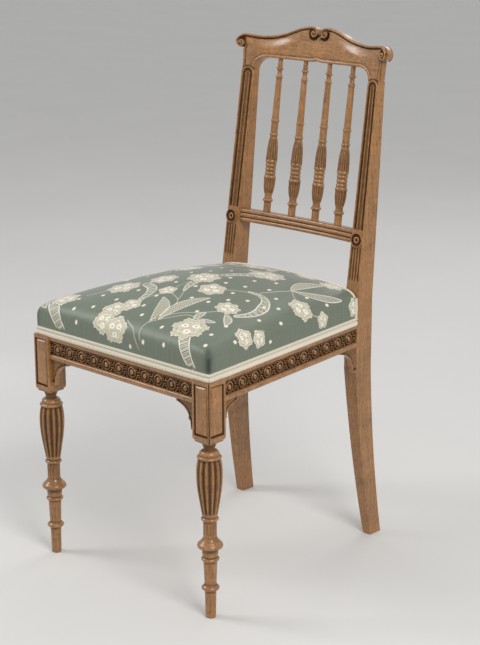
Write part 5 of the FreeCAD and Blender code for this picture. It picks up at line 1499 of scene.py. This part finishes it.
def pale_braid():
    """Twisted silk: ivory, with painted shade down between the ribs and on its underside."""
    finish, tree, output = new_finish("pale_braid")
    sunk = add(tree, "ShaderNodeAttribute", attribute_name="hollow").outputs["Fac"]
    tint = add(tree, "ShaderNodeMix", {0: sunk, 6: paint("#ebe3ce"), 7: paint("#8f8570")},
               data_type="RGBA").outputs[2]
    place = add(tree, "ShaderNodeTexCoord").outputs["Object"]
    # Threads of 0.4 mm: 2600 to the metre.
    thread = add(tree, "ShaderNodeTexNoise", {"Vector": place, "Scale": 2600.0,
                                              "Detail": 2.0}).outputs["Fac"]
    relief = add(tree, "ShaderNodeBump", {"Height": thread, "Strength": 0.3, "Distance": 0.0002}).outputs[0]
    shader = add(tree, "ShaderNodeBsdfPrincipled", {"Base Color": tint, "Roughness": 0.6, "Normal": relief,
                                                    "Sheen Weight": 0.3})
    tree.links.new(shader.outputs[0], output.inputs["Surface"])
    return finish


def braid_section(run):
    """The braid's loop at each run: (inset, height over its lower edge, painted shade), the front from
    low to high.
    """
    rise = np.linspace(0.0, GIMP_HIGH - GIMP_LOW, 26)[None, :]
    cords = np.maximum.reduce([high * bump(rise, centre, half) for centre, half, high in CORDS])
    beat = 0.5 + 0.5 * np.cos(2 * np.pi * (run / RIB_MM + 0.10 * np.abs(rise - CORDS[0][0])))
    inset = GIMP_BACK - (GIMP_BACK - GIMP_FACE) * (0.15 + 0.85 * cords * (0.68 + 0.32 * beat))
    back = np.full((len(run), 2), GIMP_BACK)
    loop = np.concatenate([inset, back, inset[:, :1]], axis=1)
    high = np.concatenate([rise[0], [GIMP_HIGH - GIMP_LOW, 0.0, 0.0]])[None, :]
    # Painted shade, with no wax on the braid: darker between the cords and the ribs, and dark underneath.
    front_shade = 0.85 - 0.85 * cords * (0.45 + 0.55 * beat)
    wax_and_shade = np.concatenate([front_shade, np.zeros((len(run), 2)), np.ones((len(run), 1))], axis=1)
    return loop, np.broadcast_to(high, loop.shape), wax_and_shade


braid = pale_braid()
print("braid ribs:", RIB_MM, "mm apart")

# %% Braid on the edges
def braid_strip(length, place):
    """One strip of braid; place carries (share of the run, inset, height) to the seat's frame."""
    run = np.linspace(0.0, length, int(length / 0.6))[:, None]
    inset, high, wax_and_shade = braid_section(run)
    return capped(place(run / length, inset, high)), wax_and_shade_marks(wax_and_shade)["hollow"]


def braid_piece(word, *strips):
    """One piece of braid from strips of it."""
    wax_and_shade = np.concatenate([hollow for grid, hollow in strips])
    grids = [grid for grid, hollow in strips]
    build(f"braid_{word}", grids, braid, [f"gimp_{word}"], {"hollow": wax_and_shade}, crease=80.0)


def rounded(past):
    """How far a corner of radius R is drawn in where it is past its start: R - sqrt(R^2 - past^2)."""
    return BRAID_ROUND - np.sqrt(BRAID_ROUND ** 2 - np.clip(past, 0.0, BRAID_ROUND) ** 2)


def on_seat(across, along, inset):
    """The level of a braid point that lies on the seat: 1 mm over the seat's surface, less the inset."""
    half = side_face(along) - COVER_IN
    level = seat_height(across / half, (along - SEAT_FRONT) / (SEAT_BACK - SEAT_FRONT) * 2 - 1)
    return level + 1.0 - inset


def front_edge(share, inset, high):
    """The front strip: straight, then drawn in round the front corners, to their middles."""
    reach = side_face(RAIL_FACE + inset) - inset
    away = np.abs(share * 2 - 1) * (reach - BRAID_ROUND * (1 - math.sqrt(0.5)))
    along = RAIL_FACE + inset + rounded(away - reach + BRAID_ROUND)
    return spread(np.sign(share - 0.5) * away, along, GIMP_LOW + high)


braid_piece("front", braid_strip(2 * side_face(RAIL_FACE), front_edge))
BRAID_END = NOTCH_FROM
for word, side in (("left", -1), ("right", 1)):
    def side_edge(share, inset, high, side=side):
        """A side strip: from the middle of the rounded corner back to the post."""
        start = RAIL_FACE + inset + BRAID_ROUND * (1 - math.sqrt(0.5))
        along = start + share * (BRAID_END - start)
        away = side_face(along) - inset - rounded(RAIL_FACE + inset + BRAID_ROUND - along)
        return spread(side * away, along, GIMP_LOW + high)

    def riser_edge(share, inset, high, side=side):
        """The riser: upright in front of the post, half as wide as the strips."""
        along = BRAID_END - 0.5 * high
        return spread(side * (side_face(along) - inset), along, GIMP_HIGH - 0.4 + share * RISER_TALL)

    def notch_edge(share, inset, high, side=side):
        """The strip that runs in from the riser over the seat, in front of the post."""
        along = BRAID_END - 0.45 * high
        across = NOTCH_REACH + share * (0.985 * (side_face(along) - COVER_IN) - NOTCH_REACH)
        return spread(side * across, along, on_seat(across, along, inset))

    braid_piece(word, braid_strip(BRAID_END - RAIL_FACE, side_edge), braid_strip(RISER_TALL, riser_edge),
                braid_strip(NOTCH_LONG, notch_edge))


def back_edge(share, inset, high):
    """The strip behind the seat, between the posts."""
    return spread((share * 2 - 1) * NOTCH_REACH, BRAID_BACK - inset, GIMP_LOW + high)


def top_edge(share, inset, high):
    """The strip that lies on the seat along its back edge."""
    across = (share * 2 - 1) * (NOTCH_REACH - 1.0)
    along = BRAID_TOP + 0.6 * high + 0 * across
    return spread(across, along, on_seat(across, along, inset))


braid_piece("back", braid_strip(2 * NOTCH_REACH, back_edge), braid_strip(2 * NOTCH_REACH, top_edge))

# %% [markdown]
# Under the seat the work is plain: two layers of webbing straps cross on the rails, and a sheet of
# hessian lies on them. Each is a flat strip or sheet with a small thickness. Glue blocks of deal stand in
# the corners. They keep the CAD's own solids and only get a finish. The cloth could be draped by
# simulation, but here it is stretched flat.

# %% Webbing and hessian
WEB_WIDE = 50.0
WEB_THICK = 1.0
TACK_IN = 8.0
HESSIAN_THICK = 0.8


def woven(name, dark, pale, thread_mm):
    """A plain weave of coarse yarn: two sets of bands at right angles, in the pieces' own coordinates."""
    finish, tree, output = new_finish(name)
    place = add(tree, "ShaderNodeTexCoord").outputs["Object"]
    size = 1 / (thread_mm * MM) / (2 * math.pi)
    bands = {"Vector": place, "Scale": size, "Distortion": 0.6, "Detail Scale": 2.0}
    sets = [add(tree, "ShaderNodeTexWave", bands, bands_direction=way).outputs["Fac"] for way in ("X", "Y")]
    weave = add(tree, "ShaderNodeMath", {0: sets[0], 1: sets[1]}, operation="MULTIPLY").outputs[0]
    tint = add(tree, "ShaderNodeMix", {0: weave, 6: paint(dark), 7: paint(pale)},
               data_type="RGBA").outputs[2]
    relief = add(tree, "ShaderNodeBump", {"Height": weave, "Strength": 0.6, "Distance": 0.0005}).outputs[0]
    shader = add(tree, "ShaderNodeBsdfPrincipled", {"Base Color": tint, "Roughness": 0.85, "Normal": relief})
    tree.links.new(shader.outputs[0], output.inputs["Surface"])
    return finish


def strap(start, end, low):
    """A strap as a thin flat tube between two ends: its section is a rectangle, carried straight along."""
    share = np.linspace(0.0, 1.0, 90)[:, None]
    middle = np.array(start) * (1 - share) + np.array(end) * share
    way = np.array(end, float) - np.array(start, float)
    side = np.array([-way[1], way[0]]) / np.hypot(*way)
    corner = np.array([-1, 1, 1, -1, -1])[None, :, None]
    upper = np.array([0, 0, 1, 1, 0])[None, :]
    plan = middle[:, None, :] + side * (WEB_WIDE / 2 * corner)
    return capped(spread(plan[..., 0], plan[..., 1], low + WEB_THICK * upper))


jute = woven("jute_webbing", "#6e5a3e", "#b09871", 1.4)
hessian_cloth = woven("hessian", "#7a6546", "#bfa67c", 1.1)
across_places = [65.0 + 80.0 * count for count in range(4)]
along_places = [60.0 * (count - 1.5) for count in range(4)]
straps = [strap((TACK_IN - side_face(y), y), (side_face(y) - TACK_IN, y), RAIL_TOP - 0.2)
          for y in across_places]
build("webbing_straps_across", straps, jute, ["webbing_across"])
straps = [strap((x, RAIL_FACE + TACK_IN), (x, 410.0), RAIL_TOP + 0.9) for x in along_places]
build("webbing_straps_along", straps, jute, ["webbing_along"])
plan_y = np.linspace(RAIL_FACE + TACK_IN, 408.0, 120)[:, None]
plan_half = np.where(plan_y > NOTCH_FROM, NOTCH_REACH, side_face(plan_y) - TACK_IN)
sheet = spread(np.linspace(-1.0, 1.0, 100)[None, :] * plan_half, plan_y, RAIL_TOP + 2.2)
rim = rim_of(sheet)
thick = np.array([0.0, 0.0, HESSIAN_THICK])
hessian_piece = build("hessian_sheet", [sheet, sheet + thick, np.stack([rim, rim + thick])], hessian_cloth,
                      ["hessian"])

# %% Glue blocks
deal, tree, output = new_finish("sawn_deal")
place = add(tree, "ShaderNodeTexCoord").outputs["Object"]
# The grain's lines are 1.7 mm wide and 56 mm long: 600 and 18 to the metre.
stretched = add(tree, "ShaderNodeMapping", {"Vector": place, "Scale": (600.0, 600.0, 18.0)}).outputs[0]
grain = add(tree, "ShaderNodeTexNoise", {"Vector": stretched, "Scale": 1.0, "Detail": 4.0}).outputs["Fac"]
tint = add(tree, "ShaderNodeMix", {0: grain, 6: paint("#a98a5e"), 7: paint("#d2b88a")},
           data_type="RGBA").outputs[2]
shader = add(tree, "ShaderNodeBsdfPrincipled", {"Base Color": tint, "Roughness": 0.75})
tree.links.new(shader.outputs[0], output.inputs["Surface"])
finished = []
for end in ("front_left", "front_right", "rear_left", "rear_right"):
    block = nodes[f"corner_block_{end}"]
    block.data.materials.clear()
    block.data.materials.append(deal)
    finished.append(block.name)
print("deal on", len(finished), "glue blocks")
